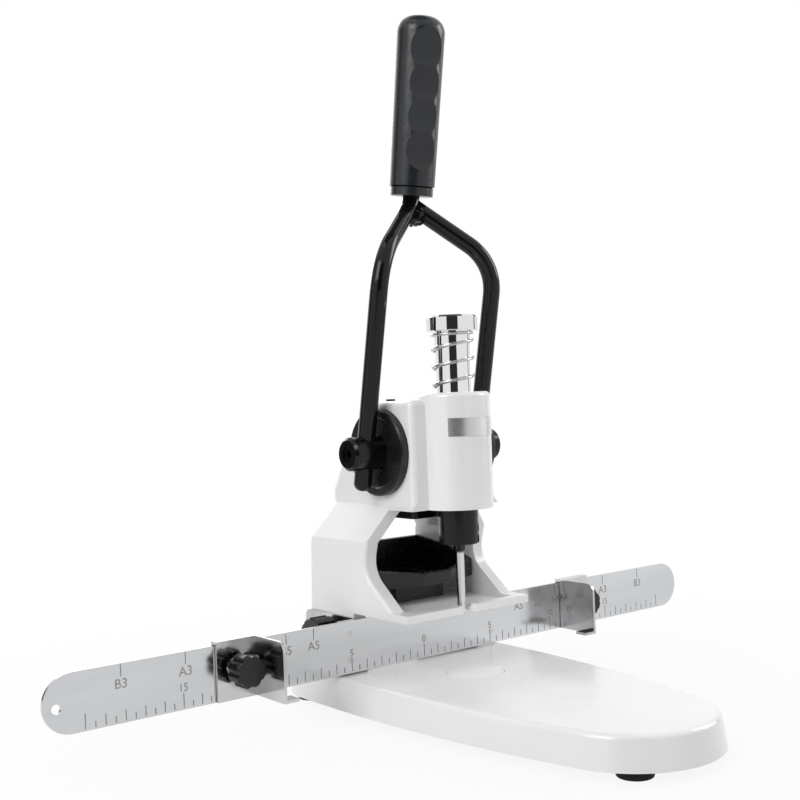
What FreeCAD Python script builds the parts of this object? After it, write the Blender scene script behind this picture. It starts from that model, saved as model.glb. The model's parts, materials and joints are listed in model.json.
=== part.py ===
import FreeCAD, Part
import math
import os
import re

import Sketcher

# Paper drill: a hand lever turns a cross shaft, whose pinion drives a rack cut into the back of an upright
# ram. The ram carries a hollow drill down through a stack of paper, which lies under a ledge against a ruler.
# X runs along the ruler, -Y is the operator's side and +Z is up. The origin is the centre of the base's
# footprint on the desk. All sizes are in millimetres and degrees.

DIMENSIONS = {
    # clearances
    "moving_gap": 0.3,
    "running_gap": 0.05,
    "fixed_gap": 0.05,
    "cut_margin": 1,
    # base plate
    "base_half_length": 127.5,
    "base_half_width": 61.5,
    "base_widest_place": 64,
    "base_side_radius": 700,
    "base_corner_radius": 29,
    "base_thickness": 16,
    "base_flare": 2.5,
    "base_edge_round": 3,
    # rubber feet and their screws
    "foot_height": 5,
    "foot_radius": 8.5,
    "foot_edge_round": 0.8,
    "foot_front_spread": 22,
    "foot_front_inset": 22,
    "foot_rear_spread": 45,
    "foot_rear_inset": 17.5,
    "foot_recess_radius": 4.4,
    "foot_recess_depth": 2,
    "foot_screw_radius": 2,
    "foot_screw_head_radius": 3.6,
    "foot_screw_head_height": 1.5,
    "foot_screw_reach": 8,
    # cutting pad
    "pad_radius": 15.4,
    "pad_depth": 6,
    "pad_offset": 9,
    # frame casting
    "ram_place": 30.7,
    "paper_gap": 31,
    "frame_half_width": 43,
    "wall_thickness": 8,
    "frame_rear": 115,
    "leg_clearance": 5.1,
    "ledge_thickness": 4,
    "ledge_reach": 6.9,
    "ledge_rim_width": 4.5,
    "ledge_recess": 1.5,
    "notch_width": 9.3,
    "notch_depth": 11.9,
    "throat_height": 52,
    "throat_foot": 37,
    "throat_back": 61.3,
    "throat_middle": 19.3,
    "throat_top_place": 52.3,
    "throat_round": 14.3,
    "throat_rim_round": 2,
    "head_setback": 1.5,
    "head_half_width": 29,
    "flare_top_rise": 2,
    "flare_bottom_drop": 16.5,
    "flare_wall_drop": 1,
    "head_cover": 27.4,
    "head_rear": 72,
    "back_slope_place": 100,
    "back_slope_drop": 38.4,
    "shoulder_place": 106.3,
    "shoulder_drop": 49.4,
    "waist_place": 105.7,
    "waist_drop": 62,
    "hip_place": 111.4,
    "hip_drop": 78,
    "casting_round": 3,
    "head_corner_round": 3,
    # boss round the ram
    "boss_radius": 19.2,
    "boss_rise": 3.6,
    "boss_edge_round": 2.5,
    "spring_chamber_radius": 12.3,
    "spring_floor_rise": 18.5,
    # bolts that hold the casting to the base
    "bolt_radius": 2.5,
    "bolt_front_place": 76,
    "bolt_rear_place": 96,
    "bolt_reach": 12,
    "bolt_head_sink": 1,
    "bolt_head_radius": 4.25,
    "bolt_head_height": 5,
    "bolt_hex_radius": 2.3,
    "bolt_hex_depth": 2.5,
    # gearing
    "gear_module": 1.5,
    "gear_teeth": 28,
    "pressure_angle": 20,
    "gear_backlash": 0.3,
    "tooth_clearance": 0.375,
    "tooth_overcut": 0.3,
    "pinion_width": 12,
    "pinion_hub_radius": 13,
    "pinion_hub_length": 3,
    "rack_offset": 7,
    "rack_gaps_below": 3,
    "rack_gaps_above": 9,
    "lever_swing": 85,
    # cross shaft, its covers and bushes
    "shaft_rise": 31,
    "shaft_radius": 9,
    "shaft_half_length": 52,
    "shaft_chamfer": 1.5,
    "chamber_radius": 22.9,
    "cover_radius": 23.6,
    "cover_thickness": 4.5,
    "cover_chamfer": 0.8,
    "cover_spigot_gap": 0.1,
    "cover_inner_place": 10,
    "cover_recess_radius": 19.5,
    "cover_recess_depth": 0.8,
    "cover_lip": 1.5,
    "bush_radius": 11,
    "key_width": 4,
    "key_height": 4,
    "key_depth": 2,
    # set screws over the covers
    "set_screw_radius": 2.5,
    "set_screw_place": 21.5,
    "set_screw_proud": 1,
    "set_screw_hex_radius": 1.7,
    "set_screw_hex_depth": 2.5,
    # gear cover plate under the head
    "gear_cover_half_width": 17,
    "gear_cover_front": 47.7,
    "gear_cover_rear": 81,
    "gear_cover_thickness": 6,
    "gear_cover_round": 3,
    "gear_cover_screw_inset": 4,
    "gear_cover_screw_radius": 1.5,
    "gear_cover_screw_head_radius": 2.8,
    "gear_cover_screw_head_height": 1.7,
    "gear_cover_screw_reach": 6,
    "grease_slot_half_width": 9,
    "grease_slot_front": 52,
    "grease_slot_rear": 73,
    # lever
    "lever_lean": 11.4,
    "rod_radius": 4.8,
    "rod_spread": 40,
    "rod_tail": 20.7,
    "rod_end_round": 4,
    "elbow_rise": 103,
    "elbow_bend": 30,
    "joint_rise": 136,
    "joint_setback": 2.8,
    "joint_bend": 10,
    "grip_lean": 8.7,
    "grip_start": 5,
    "grip_radius": 12.75,
    "grip_top_radius": 13.4,
    "grip_length": 97,
    "grip_end_round": 9,
    "grip_collar_length": 4.5,
    "grip_collar_radius": 12,
    "grip_groove_depth": 0.8,
    "grip_socket_depth": 84,
    "stem_end_gap": 1,
    "finger_radius": 20,
    "finger_ridge_sink": 0.6,
    "finger_ridge_round": 3,
    "finger_turn": -18,
    "finger_pitch": 17.7,
    "finger_first": 25,
    "finger_end_reach": 12.4,
    "finger_count": 4,
    "clamp_screw_radius": 4,
    "clamp_screw_length": 6,
    "clamp_hex_radius": 2.3,
    "clamp_hex_depth": 4,
    # ram, its cap and the return spring
    "ram_radius": 9.15,
    "cap_gap": 32.6,
    "cap_radius": 13.75,
    "cap_thickness": 8.4,
    "cap_chamfer": 1,
    "cap_neck_radius": 9.65,
    "cap_neck_length": 7.1,
    "cap_socket_depth": 11,
    "ram_tenon_radius": 6,
    "spring_mean_radius": 10.85,
    "spring_wire_radius": 0.8,
    "spring_turns": 4.5,
    "ram_bush_radius": 11.5,
    "ram_bush_length": 14,
    # tool holder and drill
    "holder_radius": 10.75,
    "holder_height": 19,
    "holder_overlap": 6,
    "holder_chamfer": 0.6,
    "holder_notch_width": 4.5,
    "holder_notch_height": 4.5,
    "holder_notch_angle": 38,
    "holder_screw_radius": 2,
    "holder_screw_length": 6.1,
    "holder_screw_sink": 0.5,
    "holder_hex_radius": 1.1,
    "holder_hex_depth": 2,
    "holder_screw_height": 8.5,
    "drill_shank_radius": 4,
    "drill_cone_radius": 3.25,
    "drill_cone_height": 4.8,
    "drill_cone_slope": 1.9,
    "drill_radius": 2.25,
    "drill_bore_radius": 1.5,
    "drill_edge_height": 1.5,
    "drill_edge_inner_height": 0.5,
    "drill_edge_gap": 0.3,
    # ruler
    "back_margin": 33.3,
    "ruler_lift": 1,
    "ruler_height": 28,
    "ruler_thickness": 1.5,
    "ruler_half_length": 220,
    "hang_hole_radius": 2.25,
    "hang_hole_inset": 6.5,
    "hang_hole_height": 12.5,
    "ruler_travel": 20,
    # carriers behind the ruler and their knobs
    "carrier_sheet": 2,
    "carrier_rear": 114,
    "carrier_flange": 11,
    "carrier_round": 4,
    "rivet_radius": 1.5,
    "rivet_head_radius": 2.6,
    "rivet_head_height": 1,
    "rivet_margin": 7,
    "slot_spare": 1,
    "margin_knob_place": 87,
    "margin_knob_height": 17.5,
    "margin_knob_radius": 11.5,
    "margin_knob_thickness": 12,
    "margin_washer_radius": 6.5,
    "margin_washer_gap": 0.4,
    "margin_neck_length": 2.4,
    "margin_stud_radius": 3,
    "margin_stud_end_gap": 1,
    "knob_lobes": 8,
    "knob_edge_chamfer": 1,
    "knob_flute_radius": 2.2,
    "knob_flute_outset": 0.75,
    # paper stops on the ruler
    "stop_place": 109,
    "stop_width": 23.4,
    "stop_sheet": 1.5,
    "stop_reach": 26,
    "stop_back_lip": 8,
    "stop_corner_round": 5,
    "stop_foot_reach": 7,
    "stop_foot_width": 8,
    "stop_knob_inset": 12,
    "stop_knob_height": 15.6,
    "stop_knob_radius": 8.5,
    "stop_knob_thickness": 10,
    "stop_neck_radius": 4,
    "stop_neck_length": 4,
    "stop_screw_radius": 2.5,
    "stop_boss_radius": 5.5,
    "stop_boss_height": 1.2,
    # chip bin
    "bin_half_width": 34,
    "bin_front": 60,
    "bin_rear": 108,
    "bin_middle": 80,
    "bin_lip_place": 50,
    "bin_lip_half_width": 10,
    "bin_lip_height": 16.5,
    "bin_front_height": 19.5,
    "bin_middle_height": 26,
    "bin_rear_height": 30,
    "bin_step_height": 10,
    "bin_well_half_width": 17,
    "bin_well_front_inset": 6,
    "bin_well_rear_inset": 8,
    "bin_wall": 2,
}

# Places that follow from the sizes above.
PLACES = {
    "base_top": "foot_height + base_thickness",
    "ledge_bottom": "base_top + paper_gap",
    "ledge_top": "ledge_bottom + ledge_thickness",
    "ledge_floor": "ledge_top - ledge_recess",
    "ledge_front": "ram_place - ledge_reach",
    "head_ceiling": "ledge_top + throat_height",
    "head_front": "ram_place + head_setback",
    "shaft_height": "head_ceiling + shaft_rise",
    "head_top": "shaft_height + head_cover",
    "boss_top": "head_top + boss_rise",
    "spring_floor": "shaft_height + spring_floor_rise",
    "cap_bottom": "boss_top + cap_gap",
    "frame_inner": "frame_half_width - wall_thickness",
    "pitch_radius": "gear_module * gear_teeth / 2",
    "tip_radius": "pitch_radius + gear_module",
    "root_radius": "pitch_radius - gear_module - tooth_clearance",
    "gear_pitch": "pi * gear_module",
    "shaft_place": "ram_place + rack_offset + pitch_radius",
    "ram_travel": "pitch_radius * lever_swing * pi / 180",
    "holder_top": "head_ceiling - moving_gap",
    "holder_bottom": "holder_top - holder_height",
    "ram_bottom": "holder_top - holder_overlap",
    "drill_tip": "base_top + ram_travel + drill_edge_gap",
    "pad_place": "ram_place - pad_offset",
    "ruler_front": "ram_place + back_margin",
    "ruler_back": "ruler_front + ruler_thickness",
    "ruler_bottom": "base_top + ruler_lift",
    "ruler_top": "ruler_bottom + ruler_height",
    "leg_front": "ruler_back + leg_clearance",
    "carrier_inner": "frame_half_width + moving_gap",
    "carrier_outer": "carrier_inner + carrier_sheet",
    "stop_leg_back": "ruler_front - moving_gap",
    "stop_leg_front": "stop_leg_back - stop_sheet",
    "stop_outer": "stop_place + stop_width",
    "stop_lip_bottom": "ruler_top + moving_gap",
    "stop_lip_back": "ruler_back + moving_gap + stop_sheet",
    "joint_height": "shaft_height + joint_rise",
    "joint_place": "shaft_place + joint_setback",
}

WORD = re.compile(r"[a-z][a-z_]*")
NO_TURN = FreeCAD.Rotation()
TO_LEFT = FreeCAD.Rotation(FreeCAD.Vector(0, 1, 0), -90)
TO_RIGHT = FreeCAD.Rotation(FreeCAD.Vector(0, 1, 0), 90)
TO_FRONT = FreeCAD.Rotation(FreeCAD.Vector(1, 0, 0), 90)
UPSIDE_DOWN = FreeCAD.Rotation(FreeCAD.Vector(1, 0, 0), 180)
SIDES = {"left": -1, "right": 1}
CLOSE = 1e-3
ORIGIN = -1
START, END, CENTRE = range(1, 4)
SHORT = 1

doc = FreeCAD.newDocument("paper_drill")
sheet = doc.addObject("Spreadsheet::Sheet", "Sizes")
nodes = []


def fill_sheet():
    """Writes the sizes as plain numbers and the places as formulas, each under its own alias."""
    cells = [(name, str(value)) for name, value in DIMENSIONS.items()]
    cells += [(name, "=" + formula) for name, formula in PLACES.items()]
    for row, (name, content) in enumerate(cells, start=1):
        sheet.set("A%d" % row, name)
        sheet.set("B%d" % row, content)
        sheet.setAlias("B%d" % row, name)
    doc.recompute()


def bound(text):
    """The expression with each size's name turned into a reference to its cell."""
    def cell(match):
        name = match.group()
        return "Sizes." + name if name in DIMENSIONS or name in PLACES else name
    return WORD.sub(cell, text)


def number(text):
    """The present value of an expression in the sizes."""
    value = sheet.evalExpression(bound(text))
    return float(getattr(value, "Value", value))


# Helpers for bodies, sketches and features

def place(item, spot, turn=NO_TURN):
    """Turns an object and binds its place to three expressions."""
    item.Placement = FreeCAD.Placement(FreeCAD.Vector(*(number(text) for text in spot)), turn)
    for axis, text in zip("xyz", spot):
        item.setExpression("Placement.Base." + axis, bound(text))
    return item


def new_body(label, spot=("0", "0", "0"), turn=NO_TURN):
    body = doc.addObject("PartDesign::Body", label)
    body.Label = label
    return place(body, spot, turn)


def plane_sketch(body, name, role, offset):
    """A sketch on one of the body's own origin planes, moved along its normal."""
    plane = next(item for item in body.Origin.OriginFeatures if item.Role == role)
    sketch = body.newObject("Sketcher::SketchObject", body.Name + "_" + name)
    sketch.AttachmentSupport = (plane, [""])
    sketch.MapMode = "FlatFace"
    sketch.setExpression("AttachmentOffset.Base.z", bound(offset))
    return sketch


def level_sketch(body, name, height):
    """A sketch at one height, with X to the right and Y up; a pad on it grows upwards."""
    return plane_sketch(body, name, "XY_Plane", height)


def side_sketch(body, name, across):
    """A sketch at one X, with Y to the right and Z up; a pad on it grows towards +X."""
    return plane_sketch(body, name, "YZ_Plane", across)


def front_sketch(body, name, depth):
    """A sketch at one Y, with X to the right and Z up; a pad on it grows towards -Y."""
    return plane_sketch(body, name, "XZ_Plane", "-(%s)" % depth)


def drive(sketch, constraint, text):
    """Adds a constraint whose value follows an expression."""
    index = sketch.addConstraint(constraint)
    name = "c%d" % index
    sketch.renameConstraint(index, name)
    sketch.setExpression("Constraints." + name, bound(text))


def pin_across(sketch, element, point, text):
    drive(sketch, Sketcher.Constraint("DistanceX", ORIGIN, START, element, point, number(text)), text)


def pin_up(sketch, element, point, text):
    drive(sketch, Sketcher.Constraint("DistanceY", ORIGIN, START, element, point, number(text)), text)


def hold_radius(sketch, element, text):
    drive(sketch, Sketcher.Constraint("Radius", element, number(text)), text)


def arc_between(start, end, radius, centre_on_left):
    """The shorter arc of a radius between two points, with its centre on one side of the way."""
    way = end - start
    normal = FreeCAD.Vector(-way.y, way.x, 0).normalize()
    rise = math.sqrt(max(radius ** 2 - (way.Length / 2) ** 2, 0))
    centre = (start + end) * 0.5 + normal * (rise if centre_on_left else -rise)
    circle = Part.Circle(centre, FreeCAD.Vector(0, 0, 1), radius)
    first, last = (start, end) if centre_on_left else (end, start)
    angles = [math.atan2(point.y - centre.y, point.x - centre.x) for point in (first, last)]
    return Part.ArcOfCircle(circle, angles[0], angles[1])


def outline(sketch, corners):
    """A closed outline. A corner is (x, y). With (x, y, radius, side) the run that ends there is an arc whose
    centre lies on the left or right of the way, and with (x, y, "half") it is a half circle to the left."""
    spots = [FreeCAD.Vector(number(corner[0]), number(corner[1]), 0) for corner in corners]
    runs = []
    for index, corner in enumerate(corners):
        start, end = spots[index - 1], spots[index]
        if len(corner) == 2:
            element = sketch.addGeometry(Part.LineSegment(start, end), False)
            runs.append((element, START, END))
            continue
        on_left = corner[-1] in ("left", "half")
        radius = (end - start).Length / 2 if corner[-1] == "half" else number(corner[2])
        element = sketch.addGeometry(arc_between(start, end, radius, on_left), False)
        runs.append((element, START, END) if on_left else (element, END, START))
    for index, (element, first, last) in enumerate(runs):
        before = runs[index - 1]
        corner = corners[index]
        sketch.addConstraint(Sketcher.Constraint("Coincident", before[0], before[2], element, first))
        pin_across(sketch, element, last, corner[0])
        pin_up(sketch, element, last, corner[1])
        if len(corner) == 4:
            hold_radius(sketch, element, corner[2])
        elif len(corner) == 3 and at(spots[index - 1].x, spots[index].x):
            pin_across(sketch, element, CENTRE, corner[0])
        elif len(corner) == 3:
            pin_up(sketch, element, CENTRE, corner[1])
    return sketch


def box_outline(sketch, left, low, right, high):
    return outline(sketch, [(left, low), (right, low), (right, high), (left, high)])


def ring(sketch, across, up, radius):
    """A circle in the sketch."""
    spot = FreeCAD.Vector(number(across), number(up), 0)
    circle = Part.Circle(spot, FreeCAD.Vector(0, 0, 1), number(radius))
    element = sketch.addGeometry(circle, False)
    pin_across(sketch, element, CENTRE, across)
    pin_up(sketch, element, CENTRE, up)
    hold_radius(sketch, element, radius)
    return sketch


def hexagon(sketch, across, up, radius):
    corners = []
    for index in range(6):
        angle = 60 * index
        corners.append(("(%s) + (%s) * cos(%d)" % (across, radius, angle),
                        "(%s) + (%s) * sin(%d)" % (up, radius, angle)))
    return outline(sketch, corners)


def settle(feature):
    """Recomputes, and stops if the feature didn't build."""
    doc.recompute()
    if "Invalid" in feature.State or feature.Shape.isNull() or feature.Shape.Volume < CLOSE:
        raise RuntimeError("%s didn't build: %s" % (feature.Name, feature.State))
    return feature


def pad(body, sketch, length):
    feature = body.newObject("PartDesign::Pad", sketch.Name + "_pad")
    feature.Profile = sketch
    feature.setExpression("Length", bound(length))
    return settle(feature)


def pocket(body, sketch, length):
    """Cuts along the sketch's normal, the way a pad on it would grow."""
    solid_before = body.Shape.Volume
    feature = body.newObject("PartDesign::Pocket", sketch.Name + "_pocket")
    feature.Profile = sketch
    feature.setExpression("Length", bound(length))
    feature.Reversed = True
    settle(feature)
    if body.Shape.Volume > solid_before - CLOSE:
        raise RuntimeError(feature.Name + " cuts nothing")
    return feature


def revolve(body, sketch):
    """Turns a section about the sketch's upright axis."""
    feature = body.newObject("PartDesign::Revolution", sketch.Name + "_turn")
    feature.Profile = sketch
    feature.ReferenceAxis = (sketch, ["V_Axis"])
    feature.Angle = 360
    return settle(feature)


def round_edges(body, radius, test):
    """Fillets the edges whose every sampled point passes the test."""
    return dress_edges(body, "PartDesign::Fillet", "Radius", radius,
                       lambda points: all(test(point) for point in points))


def edge_points(edge):
    steps = [0.0, 0.5, 1.0]
    span = edge.LastParameter - edge.FirstParameter
    return [edge.valueAt(edge.FirstParameter + span * step) for step in steps]


def dress_edges(body, kind, property_name, size, wanted):
    base = body.Tip
    names = ["Edge%d" % index for index, edge in enumerate(base.Shape.Edges, start=1)
             if wanted(edge_points(edge))]
    if not names:
        raise RuntimeError("no edges found on " + body.Label)
    feature = body.newObject(kind, base.Name + "_dress")
    feature.Base = (base, names)
    feature.setExpression(property_name, bound(size))
    return settle(feature)


def polar_repeat(body, feature, count):
    """Repeats a feature round the body's own Z axis."""
    pattern = body.newObject("PartDesign::PolarPattern", feature.Name + "_polar")
    pattern.Originals = [feature]
    axis = next(item for item in body.Origin.OriginFeatures if item.Role == "Z_Axis")
    pattern.Axis = (axis, [""])
    pattern.Angle = 360
    pattern.setExpression("Occurrences", bound(count))
    body.Tip = pattern
    return settle(pattern)


def turned(label, section, spot=("0", "0", "0"), turn=NO_TURN):
    """A body turned about its own Z from the (radius, height) corners of its half section."""
    body = new_body(label, spot, turn)
    revolve(body, outline(front_sketch(body, "section", "0"), section))
    return body


def tube(label, inner, outer, low, high, spot=("0", "0", "0"), turn=NO_TURN):
    return turned(label, [(inner, low), (outer, low), (outer, high), (inner, high)], spot, turn)


def group(label, members):
    """One node that holds several alike solids."""
    compound = doc.addObject("Part::Compound", label)
    compound.Label = label
    compound.Links = members
    return compound


def keep(item):
    """Counts an object as a finished piece of the machine."""
    nodes.append(item)
    return item


def at(value, target):
    return abs(value - target) < CLOSE


# Base plate, feet and cutting pad

def base_corners():
    """The plate's outline: rounded rear corners, long bowed sides and a round nose that meets the sides at a
    tangent."""
    inset = "(base_side_radius - base_half_width)"
    fall = "(base_widest_place + base_half_length)"
    nose = "((base_side_radius^2 - %s^2 - %s^2) / (2 * (base_side_radius - %s)))" % (inset, fall, fall)
    reach = "(%s / (base_side_radius - %s))" % (nose, nose)
    touch_x = "(%s * %s)" % (inset, reach)
    touch_y = "(%s - base_half_length + (%s - %s) * %s)" % (nose, nose, fall, reach)
    corner_x = "base_half_width - base_corner_radius"
    corner_y = "base_half_length - base_corner_radius"
    return [
        (corner_x, "base_half_length", "base_corner_radius", "left"),
        ("-(%s)" % corner_x, "base_half_length"),
        ("-base_half_width", corner_y, "base_corner_radius", "left"),
        ("-base_half_width", "base_widest_place"),
        ("-" + touch_x, touch_y, "base_side_radius", "left"),
        (touch_x, touch_y, nose, "left"),
        ("base_half_width", "base_widest_place", "base_side_radius", "left"),
        ("base_half_width", corner_y),
    ]


def foot_spots():
    """Places of the feet as (x, y) expressions: a wide pair at the rear and a close pair at the nose."""
    spots = []
    for sign in ("-", ""):
        spots.append((sign + "foot_front_spread", "foot_front_inset - base_half_length"))
        spots.append((sign + "foot_rear_spread", "base_half_length - foot_rear_inset"))
    return spots


def casting_bolt_spots():
    leg_middle = "(frame_half_width - wall_thickness / 2)"
    return [(sign + leg_middle, row) for sign in ("-", "") for row in ("bolt_front_place", "bolt_rear_place")]


def build_base_plate():
    body = new_body("base_plate")
    plate = pad(body, outline(level_sketch(body, "outline", "foot_height"), base_corners()), "base_thickness")
    plate.setExpression("TaperAngle", bound("-atan(base_flare / base_thickness)"))
    doc.recompute()
    top = number("base_top")
    round_edges(body, "base_edge_round", lambda point: at(point.z, top))
    recess = ring(level_sketch(body, "pad_recess", "base_top - pad_depth"), "0", "pad_place",
                  "pad_radius + moving_gap")
    pocket(body, recess, "pad_depth + cut_margin")
    foot_holes = level_sketch(body, "foot_holes", "foot_height")
    for across, along in foot_spots():
        ring(foot_holes, across, along, "foot_screw_radius + fixed_gap")
    pocket(body, foot_holes, "foot_screw_reach + cut_margin")
    bolt_holes = level_sketch(body, "bolt_holes", "foot_height")
    bolt_heads = level_sketch(body, "bolt_heads", "foot_height")
    for across, along in casting_bolt_spots():
        ring(bolt_holes, across, along, "bolt_radius + fixed_gap")
        ring(bolt_heads, across, along, "bolt_head_radius + moving_gap")
    pocket(body, bolt_holes, "base_thickness + cut_margin")
    pocket(body, bolt_heads, "bolt_head_height + bolt_head_sink")
    return keep(body)


def build_feet():
    section = [("foot_recess_radius", "0"), ("foot_radius - foot_edge_round", "0"),
               ("foot_radius", "foot_edge_round", "foot_edge_round", "left"), ("foot_radius", "foot_height"),
               ("foot_screw_radius + fixed_gap", "foot_height"),
               ("foot_screw_radius + fixed_gap", "foot_recess_depth"),
               ("foot_recess_radius", "foot_recess_depth")]
    feet = [turned("rubber_foot_%d" % index, section, (across, along, "0"))
            for index, (across, along) in enumerate(foot_spots(), start=1)]
    return keep(group("rubber_feet", feet))


def cap_screw(label, radius, reach, head_radius, head_height, hex_radius, hex_depth, spot, turn=NO_TURN):
    """A screw with its head's top at its own Z = 0, its shank down along -Z and a hexagon socket."""
    section = [("0", "-(%s + %s)" % (head_height, reach)), (radius, "-(%s + %s)" % (head_height, reach)),
               (radius, "-(%s)" % head_height), (head_radius, "-(%s)" % head_height), (head_radius, "0"),
               ("0", "0")]
    body = turned(label, section, spot, turn)
    pocket(body, hexagon(level_sketch(body, "socket", "-(%s)" % hex_depth), "0", "0", hex_radius),
           "%s + cut_margin" % hex_depth)
    return body


def build_foot_screws():
    screws = []
    for index, (across, along) in enumerate(foot_spots(), start=1):
        spot = (across, along, "foot_recess_depth - foot_screw_head_height")
        screws.append(cap_screw("foot_screw_%d" % index, "foot_screw_radius",
                                "foot_height - foot_recess_depth + foot_screw_reach",
                                "foot_screw_head_radius", "foot_screw_head_height",
                                "foot_screw_radius", "foot_screw_head_height / 2", spot, UPSIDE_DOWN))
    return keep(group("foot_screws", screws))


def build_casting_bolts():
    bolts = []
    for index, (across, along) in enumerate(casting_bolt_spots(), start=1):
        spot = (across, along, "foot_height + bolt_head_sink")
        bolts.append(cap_screw("casting_bolt_%d" % index, "bolt_radius",
                               "base_thickness - bolt_head_sink - bolt_head_height + bolt_reach",
                               "bolt_head_radius", "bolt_head_height", "bolt_hex_radius", "bolt_hex_depth",
                               spot, UPSIDE_DOWN))
    return keep(group("casting_bolts", bolts))


def build_cutting_pad():
    return keep(tube("cutting_pad", "0", "pad_radius", "base_top - pad_depth", "base_top",
                     ("0", "pad_place", "0")))


# Frame casting

def frame_side_corners():
    """The frame seen from the side: legs behind the ruler, the ledge that reaches forward over the paper, the
    throat, the head, and the sloping back."""
    return [
        ("leg_front", "base_top"),
        ("leg_front", "ledge_bottom"),
        ("ledge_front", "ledge_bottom"),
        ("ledge_front", "ledge_top"),
        ("throat_foot", "ledge_top"),
        ("throat_back", "ledge_top + throat_middle"),
        ("throat_top_place", "head_ceiling"),
        ("head_front", "head_ceiling"),
        ("head_front", "head_top"),
        ("head_rear", "head_top"),
        ("back_slope_place", "head_top - back_slope_drop"),
        ("shoulder_place", "head_top - shoulder_drop"),
        ("waist_place", "head_top - waist_drop"),
        ("hip_place", "head_top - hip_drop"),
        ("frame_rear", "base_top"),
    ]


def narrow_head(body):
    """Cuts both sides back to the head's width above the flares."""
    sketch = front_sketch(body, "flanks", "frame_rear + cut_margin")
    for sign in ("-", ""):
        outline(sketch, [
            (sign + "head_half_width", "head_top + cut_margin"),
            (sign + "head_half_width", "head_ceiling + flare_top_rise"),
            (sign + "frame_half_width", "head_ceiling - flare_bottom_drop"),
            (sign + "(frame_half_width + cut_margin)", "head_ceiling - flare_bottom_drop"),
            (sign + "(frame_half_width + cut_margin)", "head_top + cut_margin"),
        ])
    pocket(body, sketch, "frame_rear + base_half_length")


def hollow_frame(body):
    """Opens the room between the side walls, above the ledge and below it."""
    slope = "((frame_half_width - head_half_width) / (flare_top_rise + flare_bottom_drop))"
    low = "(head_ceiling - flare_bottom_drop - flare_wall_drop)"
    upper_half = "(frame_inner - %s * (head_ceiling - %s))" % (slope, low)
    window = front_sketch(body, "window", "frame_rear + cut_margin")
    outline(window, [
        ("-frame_inner", "ledge_top"), ("frame_inner", "ledge_top"), ("frame_inner", low),
        (upper_half, "head_ceiling"), ("-" + upper_half, "head_ceiling"), ("-frame_inner", low),
    ])
    pocket(body, window, "frame_rear + 2 * cut_margin - ledge_front")
    below = box_outline(front_sketch(body, "below", "frame_rear + cut_margin"),
                        "-frame_inner", "base_top - cut_margin", "frame_inner", "ledge_bottom")
    pocket(body, below, "frame_rear + 2 * cut_margin - ledge_front")


def shape_ledge(body):
    """Sinks the ledge's floor behind a front rim and cuts the notch that the drill comes down through."""
    floor = box_outline(level_sketch(body, "floor", "ledge_floor"),
                        "-frame_inner", "ledge_front + ledge_rim_width", "frame_inner",
                        "frame_rear + cut_margin")
    pocket(body, floor, "ledge_recess + cut_margin")
    half = "notch_width / 2"
    back = "ledge_front + notch_depth - " + half
    notch = outline(level_sketch(body, "notch", "ledge_bottom - cut_margin"), [
        ("-" + half, "ledge_front - cut_margin"), (half, "ledge_front - cut_margin"), (half, back),
        ("-" + half, back, "half"),
    ])
    pocket(body, notch, "ledge_thickness + 2 * cut_margin")


def bore_casting(body):
    """Bores for the ram, its bush and spring, the gear chamber, and the screws."""
    ram_bore = ring(level_sketch(body, "ram_bore", "head_ceiling - cut_margin"), "0", "ram_place",
                    "ram_radius + running_gap")
    pocket(body, ram_bore, "boss_top - head_ceiling + 2 * cut_margin")
    bush_seat = ring(level_sketch(body, "bush_seat", "head_ceiling - cut_margin"), "0", "ram_place",
                     "ram_bush_radius + fixed_gap")
    pocket(body, bush_seat, "ram_bush_length + cut_margin")
    chamber = ring(level_sketch(body, "spring_chamber", "spring_floor"), "0", "ram_place",
                   "spring_chamber_radius")
    pocket(body, chamber, "boss_top - spring_floor + cut_margin")
    gears = ring(side_sketch(body, "gear_chamber", "-head_half_width - cut_margin"), "shaft_place",
                 "shaft_height", "chamber_radius")
    pocket(body, gears, "2 * (head_half_width + cut_margin)")
    grease = box_outline(level_sketch(body, "grease_slot", "head_ceiling - cut_margin"),
                         "-grease_slot_half_width", "grease_slot_front", "grease_slot_half_width",
                         "grease_slot_rear")
    pocket(body, grease, "shaft_rise + cut_margin")
    set_screws = level_sketch(body, "set_screws", "shaft_height + chamber_radius - 2 * cut_margin")
    ring(set_screws, "-set_screw_place", "shaft_place", "set_screw_radius + fixed_gap")
    ring(set_screws, "set_screw_place", "shaft_place", "set_screw_radius + fixed_gap")
    pocket(body, set_screws, "head_cover - chamber_radius + 3 * cut_margin")
    cover_screws = level_sketch(body, "cover_screws", "head_ceiling - cut_margin")
    for across, along in gear_cover_screw_spots():
        ring(cover_screws, across, along, "gear_cover_screw_radius + fixed_gap")
    pocket(body, cover_screws, "gear_cover_screw_reach + 2 * cut_margin")
    bolts = level_sketch(body, "bolts", "base_top - cut_margin")
    for across, along in casting_bolt_spots():
        ring(bolts, across, along, "bolt_radius + fixed_gap")
    pocket(body, bolts, "bolt_reach + 2 * cut_margin")
    studs = ring(side_sketch(body, "margin_studs", "-frame_half_width - cut_margin"),
                 "margin_knob_place", "base_top + margin_knob_height", "margin_stud_radius + running_gap")
    pocket(body, studs, "2 * (frame_half_width + cut_margin)")


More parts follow.
